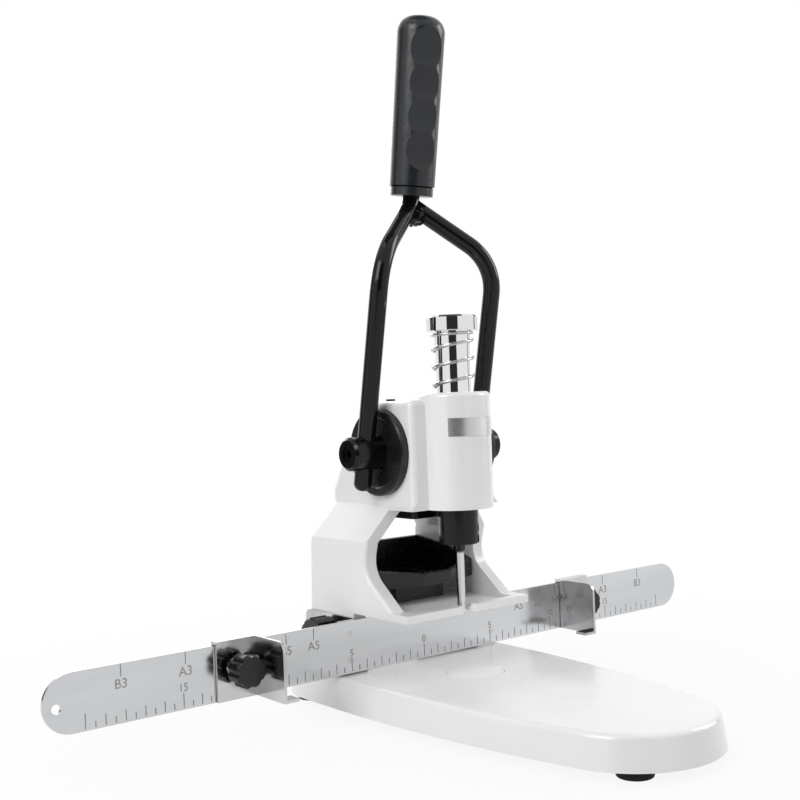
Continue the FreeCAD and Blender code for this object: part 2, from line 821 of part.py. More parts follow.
def build_head_casting():
    body = new_body("head_casting")
    pad(body, outline(side_sketch(body, "side", "-frame_half_width"), frame_side_corners()),
        "2 * frame_half_width")
    throat = number("throat_back")
    throat_height = number("ledge_top + throat_middle")
    round_edges(body, "throat_round", lambda point: at(point.y, throat) and at(point.z, throat_height))
    narrow_head(body)
    half, front, top = number("head_half_width"), number("head_front"), number("head_top")
    round_edges(body, "head_corner_round",
                lambda point: at(abs(point.x), half) and at(point.y, front) and point.z > top / 2)
    dress_edges(body, "PartDesign::Fillet", "Radius", "casting_round", is_back_rim)
    dress_edges(body, "PartDesign::Fillet", "Radius", "throat_rim_round", is_throat_rim)
    pad(body, ring(level_sketch(body, "boss", "head_ceiling"), "0", "ram_place", "boss_radius"),
        "boss_top - head_ceiling")
    boss_top = number("boss_top")
    round_edges(body, "boss_edge_round", lambda point: at(point.z, boss_top))
    hollow_frame(body)
    shape_ledge(body)
    bore_casting(body)
    return keep(body)


def flank_half_width(height):
    """Half the casting's outer width at a height: wide legs, sloping flares and the narrow head."""
    wide, narrow = number("frame_half_width"), number("head_half_width")
    flare_top = number("head_ceiling + flare_top_rise")
    flare_bottom = number("head_ceiling - flare_bottom_drop")
    share = min(max((height - flare_bottom) / (flare_top - flare_bottom), 0), 1)
    return wide + (narrow - wide) * share


def is_back_rim(points):
    """Whether an edge runs along a side of the casting over the head's top or down its back."""
    if not all(at(abs(point.x), flank_half_width(point.z)) for point in points):
        return False
    if all(at(point.z, number("head_top")) for point in points):
        return True
    drops = abs(points[0].z - points[-1].z) > SHORT
    return drops and all(point.y > number("head_rear") - SHORT for point in points)


def is_throat_rim(points):
    """Whether an edge runs along a side wall's front, up from the ledge to where the flare starts."""
    wide, back = number("frame_half_width"), number("throat_back")
    low, high = number("ledge_top"), number("head_ceiling - flare_bottom_drop")
    within = all(at(abs(point.x), wide) and low - CLOSE < point.z < high + CLOSE and point.y < back
                 for point in points)
    return within and abs(points[0].z - points[-1].z) > SHORT


# Gear cover under the head

def gear_cover_screw_spots():
    across = "(gear_cover_half_width - gear_cover_screw_inset)"
    rows = ("gear_cover_front + gear_cover_screw_inset", "gear_cover_rear - gear_cover_screw_inset")
    return [(sign + across, row) for sign in ("-", "") for row in rows]


def build_gear_cover():
    body = new_body("gear_cover_plate")
    low = "head_ceiling - gear_cover_thickness"
    plate = box_outline(level_sketch(body, "plate", low), "-gear_cover_half_width", "gear_cover_front",
                        "gear_cover_half_width", "gear_cover_rear")
    pad(body, plate, "gear_cover_thickness")
    half, front, rear = number("gear_cover_half_width"), number("gear_cover_front"), number("gear_cover_rear")
    round_edges(body, "gear_cover_round",
                lambda point: at(abs(point.x), half) and (at(point.y, front) or at(point.y, rear)))
    holes = level_sketch(body, "holes", low + " - cut_margin")
    heads = level_sketch(body, "heads", low + " - cut_margin")
    for across, along in gear_cover_screw_spots():
        ring(holes, across, along, "gear_cover_screw_radius + fixed_gap")
        ring(heads, across, along, "gear_cover_screw_head_radius + fixed_gap")
    pocket(body, holes, "gear_cover_thickness + 2 * cut_margin")
    pocket(body, heads, "gear_cover_screw_head_height + cut_margin")
    keep(body)
    screws = []
    for index, (across, along) in enumerate(gear_cover_screw_spots(), start=1):
        screws.append(cap_screw("gear_cover_screw_%d" % index, "gear_cover_screw_radius",
                                "gear_cover_thickness - gear_cover_screw_head_height"
                                " + gear_cover_screw_reach",
                                "gear_cover_screw_head_radius", "gear_cover_screw_head_height",
                                "gear_cover_screw_radius", "gear_cover_screw_head_height / 2",
                                (across, along, low), UPSIDE_DOWN))
    return keep(group("gear_cover_screws", screws))


# Cross shaft with its covers, bushes, pinion and key

def build_shaft_side(side):
    """The disc that closes the gear chamber on one side, and the bush in it."""
    sign, turn = (("-", TO_LEFT) if side == "left" else ("", TO_RIGHT))
    spot = (sign + "head_half_width", "shaft_place", "shaft_height")
    inner = "-(head_half_width - cover_inner_place)"
    spigot = "chamber_radius - cover_spigot_gap"
    bore = "bush_radius + fixed_gap"
    lip = "cover_thickness - cover_recess_depth - cover_lip"
    section = [(bore, inner), (spigot, inner), (spigot, "0"), ("cover_radius", "0"),
               ("cover_radius", "cover_thickness - cover_chamfer"),
               ("cover_radius - cover_chamfer", "cover_thickness"),
               ("cover_recess_radius", "cover_thickness"),
               ("cover_recess_radius - cover_recess_depth", "cover_thickness - cover_recess_depth"),
               ("shaft_radius + moving_gap", "cover_thickness - cover_recess_depth"),
               ("shaft_radius + moving_gap", lip), (bore, lip)]
    keep(turned(side + "_cover_disc", section, spot, turn))
    keep(tube(side + "_shaft_bush", "shaft_radius + running_gap", "bush_radius", inner, lip, spot, turn))


def build_bush_set_screws():
    screws = []
    for index, sign in enumerate(("-", ""), start=1):
        reach = "set_screw_proud + head_cover - chamber_radius"
        body = tube("bush_set_screw_%d" % index, "0", "set_screw_radius", "0", reach,
                    (sign + "set_screw_place", "shaft_place", "shaft_height + chamber_radius"))
        pocket(body, hexagon(level_sketch(body, "socket", "%s - set_screw_hex_depth" % reach), "0", "0",
                             "set_screw_hex_radius"), "set_screw_hex_depth + cut_margin")
        screws.append(body)
    return keep(group("bush_set_screws", screws))


def shaft_turn():
    """Turns a body's own Z to +X and its own X along the lever rods, which lean forwards."""
    lean = math.radians(number("lever_lean"))
    rod_way = FreeCAD.Vector(0, -math.sin(lean), math.cos(lean))
    shaft_way = FreeCAD.Vector(1, 0, 0)
    return FreeCAD.Rotation(rod_way, shaft_way.cross(rod_way), shaft_way, "ZXY")


def build_cross_shaft():
    body = turned("cross_shaft", [
        ("0", "-shaft_half_length"), ("shaft_radius - shaft_chamfer", "-shaft_half_length"),
        ("shaft_radius", "shaft_chamfer - shaft_half_length"),
        ("shaft_radius", "shaft_half_length - shaft_chamfer"),
        ("shaft_radius - shaft_chamfer", "shaft_half_length"), ("0", "shaft_half_length"),
    ], ("0", "shaft_place", "shaft_height"), shaft_turn())
    rods = side_sketch(body, "rod_holes", "-shaft_radius - cut_margin")
    ring(rods, "0", "-rod_spread", "rod_radius + fixed_gap")
    ring(rods, "0", "rod_spread", "rod_radius + fixed_gap")
    pocket(body, rods, "2 * (shaft_radius + cut_margin)")
    keyway = box_outline(side_sketch(body, "keyway", "shaft_radius - key_depth"),
                         "-(key_width / 2 + fixed_gap)", "-(pinion_width / 2 + fixed_gap)",
                         "key_width / 2 + fixed_gap", "pinion_width / 2 + fixed_gap")
    pocket(body, keyway, "key_depth + cut_margin")
    right_end = ring(level_sketch(body, "right_end", "rod_spread"), "0", "0",
                     "clamp_screw_radius + fixed_gap")
    pocket(body, right_end, "shaft_half_length - rod_spread + cut_margin")
    left_end = ring(level_sketch(body, "left_end", "-shaft_half_length - cut_margin"), "0", "0",
                    "clamp_screw_radius + fixed_gap")
    pocket(body, left_end, "shaft_half_length - rod_spread + cut_margin")
    return keep(body)


def build_clamp_screws():
    """Grub screws in the shaft's ends, which press the lever's rods tight."""
    screws = []
    for side, turn in (("left", TO_LEFT), ("right", TO_RIGHT)):
        sign = "-" if side == "left" else ""
        low = "rod_radius + fixed_gap"
        high = low + " + clamp_screw_length"
        body = tube(side + "_clamp_screw", "0", "clamp_screw_radius", low, high,
                    (sign + "rod_spread", "shaft_place", "shaft_height"), turn)
        pocket(body, hexagon(level_sketch(body, "socket", "%s - clamp_hex_depth" % high), "0", "0",
                             "clamp_hex_radius"), "clamp_hex_depth + cut_margin")
        screws.append(body)
    return keep(group("hub_clamp_screws", screws))


def tooth_edge_angle(radius, gap_half_angle):
    """Half the angle of a tooth gap at a radius: each flank is an arc about the point where the line of
    action touches the base circle, which is the involute's own centre at the pitch circle."""
    base = "(pitch_radius * cos(pressure_angle))"
    flank = "(pitch_radius * sin(pressure_angle))"
    turn = "acos(((%s)^2 + %s^2 - %s^2) / (2 * (%s) * %s))" % (radius, base, flank, radius, base)
    return "(%s + pressure_angle * 1 deg - %s)" % (gap_half_angle, turn)


def build_pinion():
    """Spur pinion with its tooth gaps cut one by one round the blank. A gap faces the rack at rest."""
    body = turned("drive_pinion", [
        ("shaft_radius + fixed_gap", "-pinion_width / 2"), ("tip_radius", "-pinion_width / 2"),
        ("tip_radius", "pinion_width / 2"), ("pinion_hub_radius", "pinion_width / 2"),
        ("pinion_hub_radius", "pinion_width / 2 + pinion_hub_length"),
        ("shaft_radius + fixed_gap", "pinion_width / 2 + pinion_hub_length"),
    ], ("0", "shaft_place", "shaft_height"), FreeCAD.Rotation(
        FreeCAD.Vector(0, -1, 0), FreeCAD.Vector(0, 0, -1), FreeCAD.Vector(1, 0, 0), "ZXY"))
    outer = "(tip_radius + tooth_overcut)"
    half_gap = "(90 deg / gear_teeth)"
    wide = tooth_edge_angle(outer, half_gap)
    slim = tooth_edge_angle("root_radius", half_gap)
    flank = "pitch_radius * sin(pressure_angle)"
    gap = outline(level_sketch(body, "tooth_gap", "-pinion_width / 2 - cut_margin"), [
        ("root_radius * cos(%s)" % slim, "-root_radius * sin(%s)" % slim),
        ("%s * cos(%s)" % (outer, wide), "-%s * sin(%s)" % (outer, wide), flank, "right"),
        ("%s * cos(%s)" % (outer, wide), "%s * sin(%s)" % (outer, wide)),
        ("root_radius * cos(%s)" % slim, "root_radius * sin(%s)" % slim, flank, "right"),
    ])
    cut = pocket(body, gap, "pinion_width + 2 * cut_margin")
    polar_repeat(body, cut, "gear_teeth")
    reach_x, reach_y = ("%s * %s(lever_lean)" % (part, wave) for part, wave in
                        (("(shaft_radius + key_height - key_depth + fixed_gap)", "sin"),
                         ("-(shaft_radius + key_height - key_depth + fixed_gap)", "cos")))
    side_x, side_y = ("(key_width / 2 + fixed_gap) * %s(lever_lean)" % wave for wave in ("cos", "sin"))
    slot = outline(level_sketch(body, "keyway", "-pinion_width / 2 - cut_margin"), [
        ("-%s" % side_x, "-%s" % side_y),
        ("%s - %s" % (reach_x, side_x), "%s - %s" % (reach_y, side_y)),
        ("%s + %s" % (reach_x, side_x), "%s + %s" % (reach_y, side_y)),
        (side_x, side_y),
    ])
    pocket(body, slot, "pinion_width + pinion_hub_length + 2 * cut_margin")
    return keep(body)


def build_pinion_key():
    """Parallel key between the shaft and the pinion, on the shaft's upper side."""
    body = new_body("pinion_key", ("0", "shaft_place", "shaft_height"), shaft_turn())
    section = box_outline(side_sketch(body, "section", "shaft_radius - key_depth"),
                          "-key_width / 2", "-pinion_width / 2", "key_width / 2", "pinion_width / 2")
    pad(body, section, "key_height")
    return keep(body)


# Lever

def pivot_point(across, forward, rise):
    """A point beside the cross shaft, from numbers: across, forward of the shaft and above it."""
    return FreeCAD.Vector(across, number("shaft_place") - forward, number("shaft_height") + rise)


def rounded_path(corners, bends):
    """A wire through the corners, whose inner corners are rounded by tangent arcs."""
    edges = []
    start = corners[0]
    for before, corner, after, bend in zip(corners, corners[1:], corners[2:], bends):
        way_in = (corner - before).normalize()
        way_out = (after - corner).normalize()
        turn = way_in.getAngle(way_out)
        setback = bend * math.tan(turn / 2)
        enter = corner - way_in * setback
        leave = corner + way_out * setback
        inward = (way_out - way_in).normalize()
        middle = corner + inward * (bend / math.cos(turn / 2) - bend)
        edges.append(Part.makeLine(start, enter))
        edges.append(Part.Arc(enter, middle, leave).toShape())
        start = leave
    edges.append(Part.makeLine(start, corners[-1]))
    return Part.Wire(edges)


def bent_rod(corners, bends):
    """A round rod swept along a rounded path, with its first end rounded over."""
    path = rounded_path(corners, bends)
    way = corners[1] - corners[0]
    section = Part.Wire([Part.makeCircle(number("rod_radius"), corners[0], way)])
    rod = path.makePipeShell([section], True, False)
    end = [edge for edge in rod.Edges if edge.CenterOfMass.isEqual(corners[0], CLOSE)]
    return rod.makeFillet(number("rod_end_round"), end)


def lever_points(sign):
    """Tail, elbow and junction of one rod, and the stem's top inside the grip."""
    lean = math.tan(math.radians(number("lever_lean")))
    tail = number("rod_tail") * math.cos(math.radians(number("lever_lean")))
    spread = number("rod_spread") * sign
    elbow = number("elbow_rise")
    joint = pivot_point(0, -number("joint_setback"), number("joint_rise"))
    stem = joint + grip_way() * number("grip_start + grip_socket_depth - stem_end_gap")
    return [pivot_point(spread, -lean * tail, -tail), pivot_point(spread, lean * elbow, elbow), joint, stem]


def grip_way():
    lean = math.radians(number("grip_lean"))
    return FreeCAD.Vector(0, -math.sin(lean), math.cos(lean))


def build_lever_rods():
    """The left rod runs on as the stem inside the grip, and the right one is welded to it."""
    left = bent_rod(lever_points(SIDES["left"]), [number("elbow_bend"), number("joint_bend")])
    right = bent_rod(lever_points(SIDES["right"])[:3], [number("elbow_bend")])
    for label, shape in (("left_lever_rod", left), ("right_lever_rod", right.cut(left).Solids[0])):
        rod = doc.addObject("Part::Feature", label)
        rod.Label = label
        rod.Shape = shape
        rod.Placement = FreeCAD.Placement()
        keep(rod)


def build_grip():
    """Moulded grip with a collar at its foot, finger hollows along its front and a domed end."""
    shoulder = "grip_collar_length + grip_groove_depth"
    top = "grip_length - grip_end_round"
    body = turned("lever_grip", [
        ("rod_radius + fixed_gap", "0"), ("grip_collar_radius", "0"),
        ("grip_collar_radius", "grip_collar_length"),
        ("grip_collar_radius - grip_groove_depth", shoulder),
        ("grip_radius", shoulder),
        ("grip_top_radius", top),
        ("grip_top_radius - grip_end_round", "grip_length", "grip_end_round", "left"),
        ("0", "grip_length"), ("0", "grip_socket_depth"), ("rod_radius + fixed_gap", "grip_socket_depth"),
    ], ("0", "joint_place - grip_start * sin(grip_lean)", "joint_height + grip_start * cos(grip_lean)"),
        FreeCAD.Rotation(FreeCAD.Vector(1, 0, 0), number("grip_lean")).multiply(
            FreeCAD.Rotation(FreeCAD.Vector(0, 0, 1), number("finger_turn"))))
    outside = "-(grip_radius + cut_margin)"
    ridge = "finger_ridge_sink - grip_radius"
    last = int(number("finger_count")) - 1
    corners = [(outside, "finger_first - finger_end_reach")]
    for index in range(last):
        corners.append((ridge, "finger_first + (%d + 0.5) * finger_pitch" % index, "finger_radius", "left"))
    corners.append((outside, "finger_first + %d * finger_pitch + finger_end_reach" % last, "finger_radius",
                    "left"))
    hollows = outline(side_sketch(body, "fingers", "-grip_radius - cut_margin"), corners)
    pocket(body, hollows, "2 * (grip_radius + cut_margin)")
    ridge_place = number(ridge)
    round_edges(body, "finger_ridge_round", lambda point: at(point.y, ridge_place))
    return keep(body)


# Ram, spring and tool

def build_ram():
    """Round ram with a tenon at its top and a rack of straight teeth down its back."""
    body = turned("ram", [
        ("0", "ram_bottom"), ("ram_radius", "ram_bottom"), ("ram_radius", "cap_bottom - cap_neck_length"),
        ("ram_tenon_radius", "cap_bottom - cap_neck_length"),
        ("ram_tenon_radius", "cap_bottom - cap_neck_length + cap_socket_depth - fixed_gap"),
        ("0", "cap_bottom - cap_neck_length + cap_socket_depth - fixed_gap"),
    ], ("0", "ram_place", "0"))
    tip = "rack_offset + gear_module"
    root = "rack_offset - gear_module - tooth_clearance"
    low = "shaft_height - (rack_gaps_below + 0.5) * gear_pitch"
    high = "shaft_height + (rack_gaps_above + 0.5) * gear_pitch"
    flat = box_outline(side_sketch(body, "flat", "-ram_radius - cut_margin"), tip, low,
                       "ram_radius + cut_margin", high)
    pocket(body, flat, "2 * (ram_radius + cut_margin)")
    middle = "(shaft_height - (rack_gaps_below - 0.5) * gear_pitch)"
    half = "(gear_pitch / 4 + gear_backlash / 2)"
    lean = "tan(pressure_angle)"
    outer_half = "(%s + (gear_module + cut_margin) * %s)" % (half, lean)
    inner_half = "(%s - (gear_module + tooth_clearance) * %s)" % (half, lean)
    gap = outline(side_sketch(body, "rack_gap", "-ram_radius - cut_margin"), [
        (root, "%s - %s" % (middle, inner_half)), (tip + " + cut_margin", "%s - %s" % (middle, outer_half)),
        (tip + " + cut_margin", "%s + %s" % (middle, outer_half)), (root, "%s + %s" % (middle, inner_half)),
    ])
    cut = pocket(body, gap, "2 * (ram_radius + cut_margin)")
    rack = body.newObject("PartDesign::LinearPattern", "ram_rack")
    rack.Originals = [cut]
    axis = next(item for item in body.Origin.OriginFeatures if item.Role == "Z_Axis")
    rack.Direction = (axis, [""])
    rack.setExpression("Length", bound("(rack_gaps_below + rack_gaps_above - cut_margin) * gear_pitch"))
    rack.setExpression("Occurrences", bound("rack_gaps_below + rack_gaps_above"))
    body.Tip = rack
    settle(rack)
    return keep(body)


def build_ram_cap():
    socket = "cap_bottom - cap_neck_length + cap_socket_depth"
    top = "cap_bottom + cap_thickness"
    return keep(turned("ram_cap", [
        ("ram_tenon_radius + fixed_gap", "cap_bottom - cap_neck_length"),
        ("cap_neck_radius", "cap_bottom - cap_neck_length"), ("cap_neck_radius", "cap_bottom"),
        ("cap_radius - cap_chamfer / 2", "cap_bottom"), ("cap_radius", "cap_bottom + cap_chamfer / 2"),
        ("cap_radius", top + " - cap_chamfer"), ("cap_radius - cap_chamfer", top), ("0", top),
        ("0", socket), ("ram_tenon_radius + fixed_gap", socket),
    ], ("0", "ram_place", "0")))


def build_return_spring():
    body = new_body("return_spring", ("0", "ram_place", "spring_floor + spring_wire_radius"))
    section = ring(front_sketch(body, "wire", "0"), "spring_mean_radius", "0", "spring_wire_radius")
    coil = body.newObject("PartDesign::AdditiveHelix", "return_spring_coil")
    coil.Profile = section
    coil.ReferenceAxis = (section, ["V_Axis"])
    coil.Mode = "height-turns-angle"
    coil.setExpression("Height", bound("cap_bottom - spring_floor - 2 * spring_wire_radius"))
    coil.setExpression("Turns", bound("spring_turns"))
    settle(coil)
    return keep(body)


def build_ram_bush():
    return keep(tube("ram_bush", "ram_radius + running_gap", "ram_bush_radius", "head_ceiling",
                     "head_ceiling + ram_bush_length", ("0", "ram_place", "0")))


def build_tool_holder():
    """Black holder on the ram's foot, with a window that lets chips fall out above the drill's shank."""
    floor = "ram_bottom"
    body = turned("tool_holder", [
        ("drill_shank_radius + fixed_gap", "holder_bottom"),
        ("holder_radius - holder_chamfer", "holder_bottom"),
        ("holder_radius", "holder_bottom + holder_chamfer"), ("holder_radius", "holder_top"),
        ("ram_radius + fixed_gap", "holder_top"), ("ram_radius + fixed_gap", floor),
        ("drill_shank_radius + fixed_gap", floor),
    ], ("0", "ram_place", "0"), FreeCAD.Rotation(FreeCAD.Vector(0, 0, 1), number("holder_notch_angle")))
    notch = box_outline(front_sketch(body, "notch", "-drill_shank_radius"), "-holder_notch_width / 2",
                        "holder_bottom - cut_margin", "holder_notch_width / 2",
                        "holder_bottom + holder_notch_height")
    pocket(body, notch, "holder_radius")
    screw = ring(front_sketch(body, "screw_hole", "-drill_shank_radius"), "0",
                 "holder_bottom + holder_screw_height", "holder_screw_radius + fixed_gap")
    pocket(body, screw, "holder_radius")
    return keep(body)


def build_holder_screw():
    """Grub screw that holds the ram and tool together; it sits just inside the holder's wall."""
    turn = FreeCAD.Rotation(FreeCAD.Vector(0, 0, 1), number("holder_notch_angle")).multiply(TO_FRONT)
    body = tube("holder_set_screw", "0", "holder_screw_radius",
                "holder_radius - holder_screw_sink - holder_screw_length",
                "holder_radius - holder_screw_sink",
                ("0", "ram_place", "holder_bottom + holder_screw_height"), turn)
    socket = level_sketch(body, "socket", "holder_radius - holder_screw_sink - holder_hex_depth")
    pocket(body, hexagon(socket, "0", "0", "holder_hex_radius"), "holder_hex_depth + cut_margin")
    return keep(body)


def build_hollow_drill():
    """Hollow drill: the paper cores rise through its bore; the shank sits in the holder."""
    cone_bottom = "holder_bottom - drill_cone_height"
    return keep(turned("hollow_drill", [
        ("drill_bore_radius", "drill_tip + drill_edge_inner_height"),
        ("(drill_bore_radius + drill_radius) / 2", "drill_tip"),
        ("drill_radius", "drill_tip + drill_edge_height"),
        ("drill_radius", cone_bottom), ("drill_cone_radius", cone_bottom + " + drill_cone_slope"),
        ("drill_cone_radius", "holder_bottom"), ("drill_shank_radius", "holder_bottom"),
        ("drill_shank_radius", "ram_bottom - fixed_gap"), ("drill_bore_radius", "ram_bottom - fixed_gap"),
    ], ("0", "ram_place", "0")))


# Ruler, carriers and margin knobs

def rivet_heights():
    return ("ruler_bottom + rivet_margin", "ruler_top - rivet_margin")


def rivet_across():
    return "(carrier_outer + carrier_flange / 2)"


def build_ruler():
    body = new_body("ruler")
    half = "ruler_half_length - ruler_height / 2"
    strip = outline(front_sketch(body, "strip", "ruler_back"), [
        ("-(%s)" % half, "ruler_bottom", "half"), (half, "ruler_bottom"),
        (half, "ruler_top", "half"), ("-(%s)" % half, "ruler_top"),
    ])
    pad(body, strip, "ruler_thickness")
    holes = front_sketch(body, "holes", "ruler_back + cut_margin")
    ring(holes, "hang_hole_inset - ruler_half_length", "ruler_bottom + hang_hole_height", "hang_hole_radius")
    for sign in ("-", ""):
        for height in rivet_heights():
            ring(holes, sign + rivet_across(), height, "rivet_radius + fixed_gap")
    pocket(body, holes, "ruler_thickness + 2 * cut_margin")
    return keep(body)


def build_carrier(side):
    """Bent plate that carries the ruler: a flange riveted to the ruler's back and a slotted arm along the
    casting's side."""
    body = new_body(side + "_ruler_carrier")
    sign = "-" if side == "left" else ""
    arm_start = "-carrier_outer" if side == "left" else "carrier_inner"
    arm = box_outline(side_sketch(body, "arm", arm_start), "ruler_back", "ruler_bottom", "carrier_rear",
                      "ruler_top")
    pad(body, arm, "carrier_sheet")
    flange_start, flange_end = ("-(carrier_outer + carrier_flange)", "-carrier_outer")
    if side == "right":
        flange_start, flange_end = ("carrier_outer", "carrier_outer + carrier_flange")
    flange = box_outline(front_sketch(body, "flange", "ruler_back + carrier_sheet"), flange_start,
                         "ruler_bottom", flange_end, "ruler_top")
    pad(body, flange, "carrier_sheet")
    rear = number("carrier_rear")
    low, high = number("ruler_bottom"), number("ruler_top")
    round_edges(body, "carrier_round",
                lambda point: at(point.y, rear) and (at(point.z, low) or at(point.z, high)))
    half = "margin_stud_radius + moving_gap"
    height = "base_top + margin_knob_height"
    end = "margin_knob_place + ruler_travel + slot_spare"
    slot = outline(side_sketch(body, "slot", arm_start + " - cut_margin"), [
        (end, "%s + %s" % (height, half), "half"),
        ("margin_knob_place", "%s + %s" % (height, half)),
        ("margin_knob_place", "%s - (%s)" % (height, half), "half"),
        (end, "%s - (%s)" % (height, half)),
    ])
    pocket(body, slot, "carrier_sheet + 2 * cut_margin")
    rivets = front_sketch(body, "rivet_holes", "ruler_back + carrier_sheet + cut_margin")
    for row in rivet_heights():
        ring(rivets, sign + rivet_across(), row, "rivet_radius + fixed_gap")
    pocket(body, rivets, "carrier_sheet + 2 * cut_margin")
    return keep(body)


def build_rivets():
    """Rivets that are flush in the ruler's face and headed behind the carriers' flanges."""
    rivets = []
    length = "(ruler_thickness + carrier_sheet)"
    section = [("0", "0"), ("rivet_head_radius", "0"), ("rivet_head_radius", "rivet_head_height / 2"),
               ("rivet_radius", "rivet_head_height"), ("rivet_radius", "rivet_head_height + " + length),
               ("0", "rivet_head_height + " + length)]
    for side in SIDES:
        sign = "-" if side == "left" else ""
        for index, height in enumerate(rivet_heights(), start=1):
            spot = (sign + rivet_across(), "ruler_back + carrier_sheet + rivet_head_height", height)
            rivets.append(turned("%s_carrier_rivet_%d" % (side, index), section, spot, TO_FRONT))
    return keep(group("carrier_rivets", rivets))


def star_knob(label, section, radius, low, thickness, spot, turn):
    """A turned knob whose rim is fluted into lobes."""
    body = turned(label, section, spot, turn)
    flute = ring(level_sketch(body, "flute", low), radius + " + knob_flute_outset", "0",
                 "knob_flute_radius")
    cut = pocket(body, flute, thickness)
    polar_repeat(body, cut, "knob_lobes")
    return keep(body)


def build_margin_knob(side):
    """Star knob whose stud goes through the carrier's slot into the casting's leg."""
    sign, turn = (("-", TO_LEFT) if side == "left" else ("", TO_RIGHT))
    face = "carrier_sheet + moving_gap + margin_washer_gap"
    low = "(%s + margin_neck_length)" % face
    high = "(%s + margin_knob_thickness)" % low
    section = [
        ("0", "margin_stud_end_gap - wall_thickness"),
        ("margin_stud_radius", "margin_stud_end_gap - wall_thickness"),
        ("margin_stud_radius", face), ("margin_washer_radius", face), ("margin_washer_radius", low),
        ("margin_knob_radius - knob_edge_chamfer", low), ("margin_knob_radius", low + " + knob_edge_chamfer"),
        ("margin_knob_radius", high + " - knob_edge_chamfer"),
        ("margin_knob_radius - knob_edge_chamfer", high),
        ("0", high),
    ]
    spot = (sign + "frame_half_width", "margin_knob_place", "base_top + margin_knob_height")
    return star_knob(side + "_margin_knob", section, "margin_knob_radius", low,
                     "margin_knob_thickness + cut_margin", spot, turn)


# Paper stops

def stop_range(side, near, far):
    """Low and high X of a span that lies between two distances from the middle, on one side."""
    return ("-(%s)" % far, "-(%s)" % near) if side == "left" else (near, far)


def build_stop(side):
    """Bent sheet: a leg before the ruler that hooks over its top, a flap that reaches forward at the inner
    end, and a small foot at the flap's front."""
    body = new_body(side + "_paper_stop")
    low, high = stop_range(side, "stop_place", "stop_outer")
    lip_top = "stop_lip_bottom + stop_sheet"
    hook = outline(side_sketch(body, "hook", low), [
        ("stop_leg_front", "ruler_bottom"), ("stop_leg_back", "ruler_bottom"),
        ("stop_leg_back", "stop_lip_bottom"), ("stop_lip_back - stop_sheet", "stop_lip_bottom"),
        ("stop_lip_back - stop_sheet", "ruler_top - stop_back_lip"),
        ("stop_lip_back", "ruler_top - stop_back_lip"), ("stop_lip_back", lip_top),
        ("stop_leg_front", lip_top),
    ])
    pad(body, hook, "stop_width")
    low, high = stop_range(side, "stop_place", "stop_place + stop_sheet")
    reach = "(stop_leg_front - stop_reach)"
    flap = outline(side_sketch(body, "flap", low), [
        ("stop_leg_front", "ruler_bottom"), ("stop_leg_front", lip_top),
        (reach + " + stop_corner_round", lip_top),
        (reach, lip_top + " - stop_corner_round", "stop_corner_round", "left"),
        (reach, "ruler_bottom"),
    ])
    pad(body, flap, "stop_sheet")
    low, high = stop_range(side, "stop_place - stop_foot_reach", "stop_place")
    foot = box_outline(level_sketch(body, "foot", "ruler_bottom"), low, reach, high,
                       reach + " + stop_foot_width")
    pad(body, foot, "stop_sheet")
    sign = "-" if side == "left" else ""
    across = sign + "(stop_place + stop_knob_inset)"
    height = "ruler_bottom + stop_knob_height"
    boss = ring(front_sketch(body, "boss", "stop_leg_front"), across, height, "stop_boss_radius")
    pad(body, boss, "stop_boss_height")
    hole = ring(front_sketch(body, "hole", "stop_leg_back + moving_gap / 2"), across, height,
                "stop_screw_radius + running_gap")
    pocket(body, hole, "stop_sheet + stop_boss_height + cut_margin")
    return keep(body)


def build_stop_knob(side):
    """Star knob whose screw presses the stop against the ruler."""
    sign = "-" if side == "left" else ""
    spot = (sign + "(stop_place + stop_knob_inset)", "stop_leg_front", "ruler_bottom + stop_knob_height")
    neck = "stop_boss_height + moving_gap"
    low = "stop_neck_length"
    high = "(stop_neck_length + stop_knob_thickness)"
    section = [
        ("0", "moving_gap / 2 - stop_sheet"), ("stop_screw_radius", "moving_gap / 2 - stop_sheet"),
        ("stop_screw_radius", neck), ("stop_neck_radius", neck), ("stop_neck_radius", low),
        ("stop_knob_radius - knob_edge_chamfer", low), ("stop_knob_radius", low + " + knob_edge_chamfer"),
        ("stop_knob_radius", high + " - knob_edge_chamfer"), ("stop_knob_radius - knob_edge_chamfer", high),
        ("0", high),
    ]
    return star_knob(side + "_stop_knob", section, "stop_knob_radius", low,
                     "stop_knob_thickness + cut_margin", spot, TO_FRONT)


# Chip bin

def bin_plan(inset):
    """The hopper from above, moved inwards by a wall: its front tapers to a narrow lip under the holder."""
    side = "(bin_half_width - %s)" % inset
    lip = "(bin_lip_half_width - %s / 2)" % inset
    return [
        (side, "bin_rear - " + inset), ("-" + side, "bin_rear - " + inset),
        ("-" + side, "bin_front + " + inset),
        ("-" + lip, "bin_lip_place + " + inset), (lip, "bin_lip_place + " + inset),
        (side, "bin_front + " + inset),
    ]


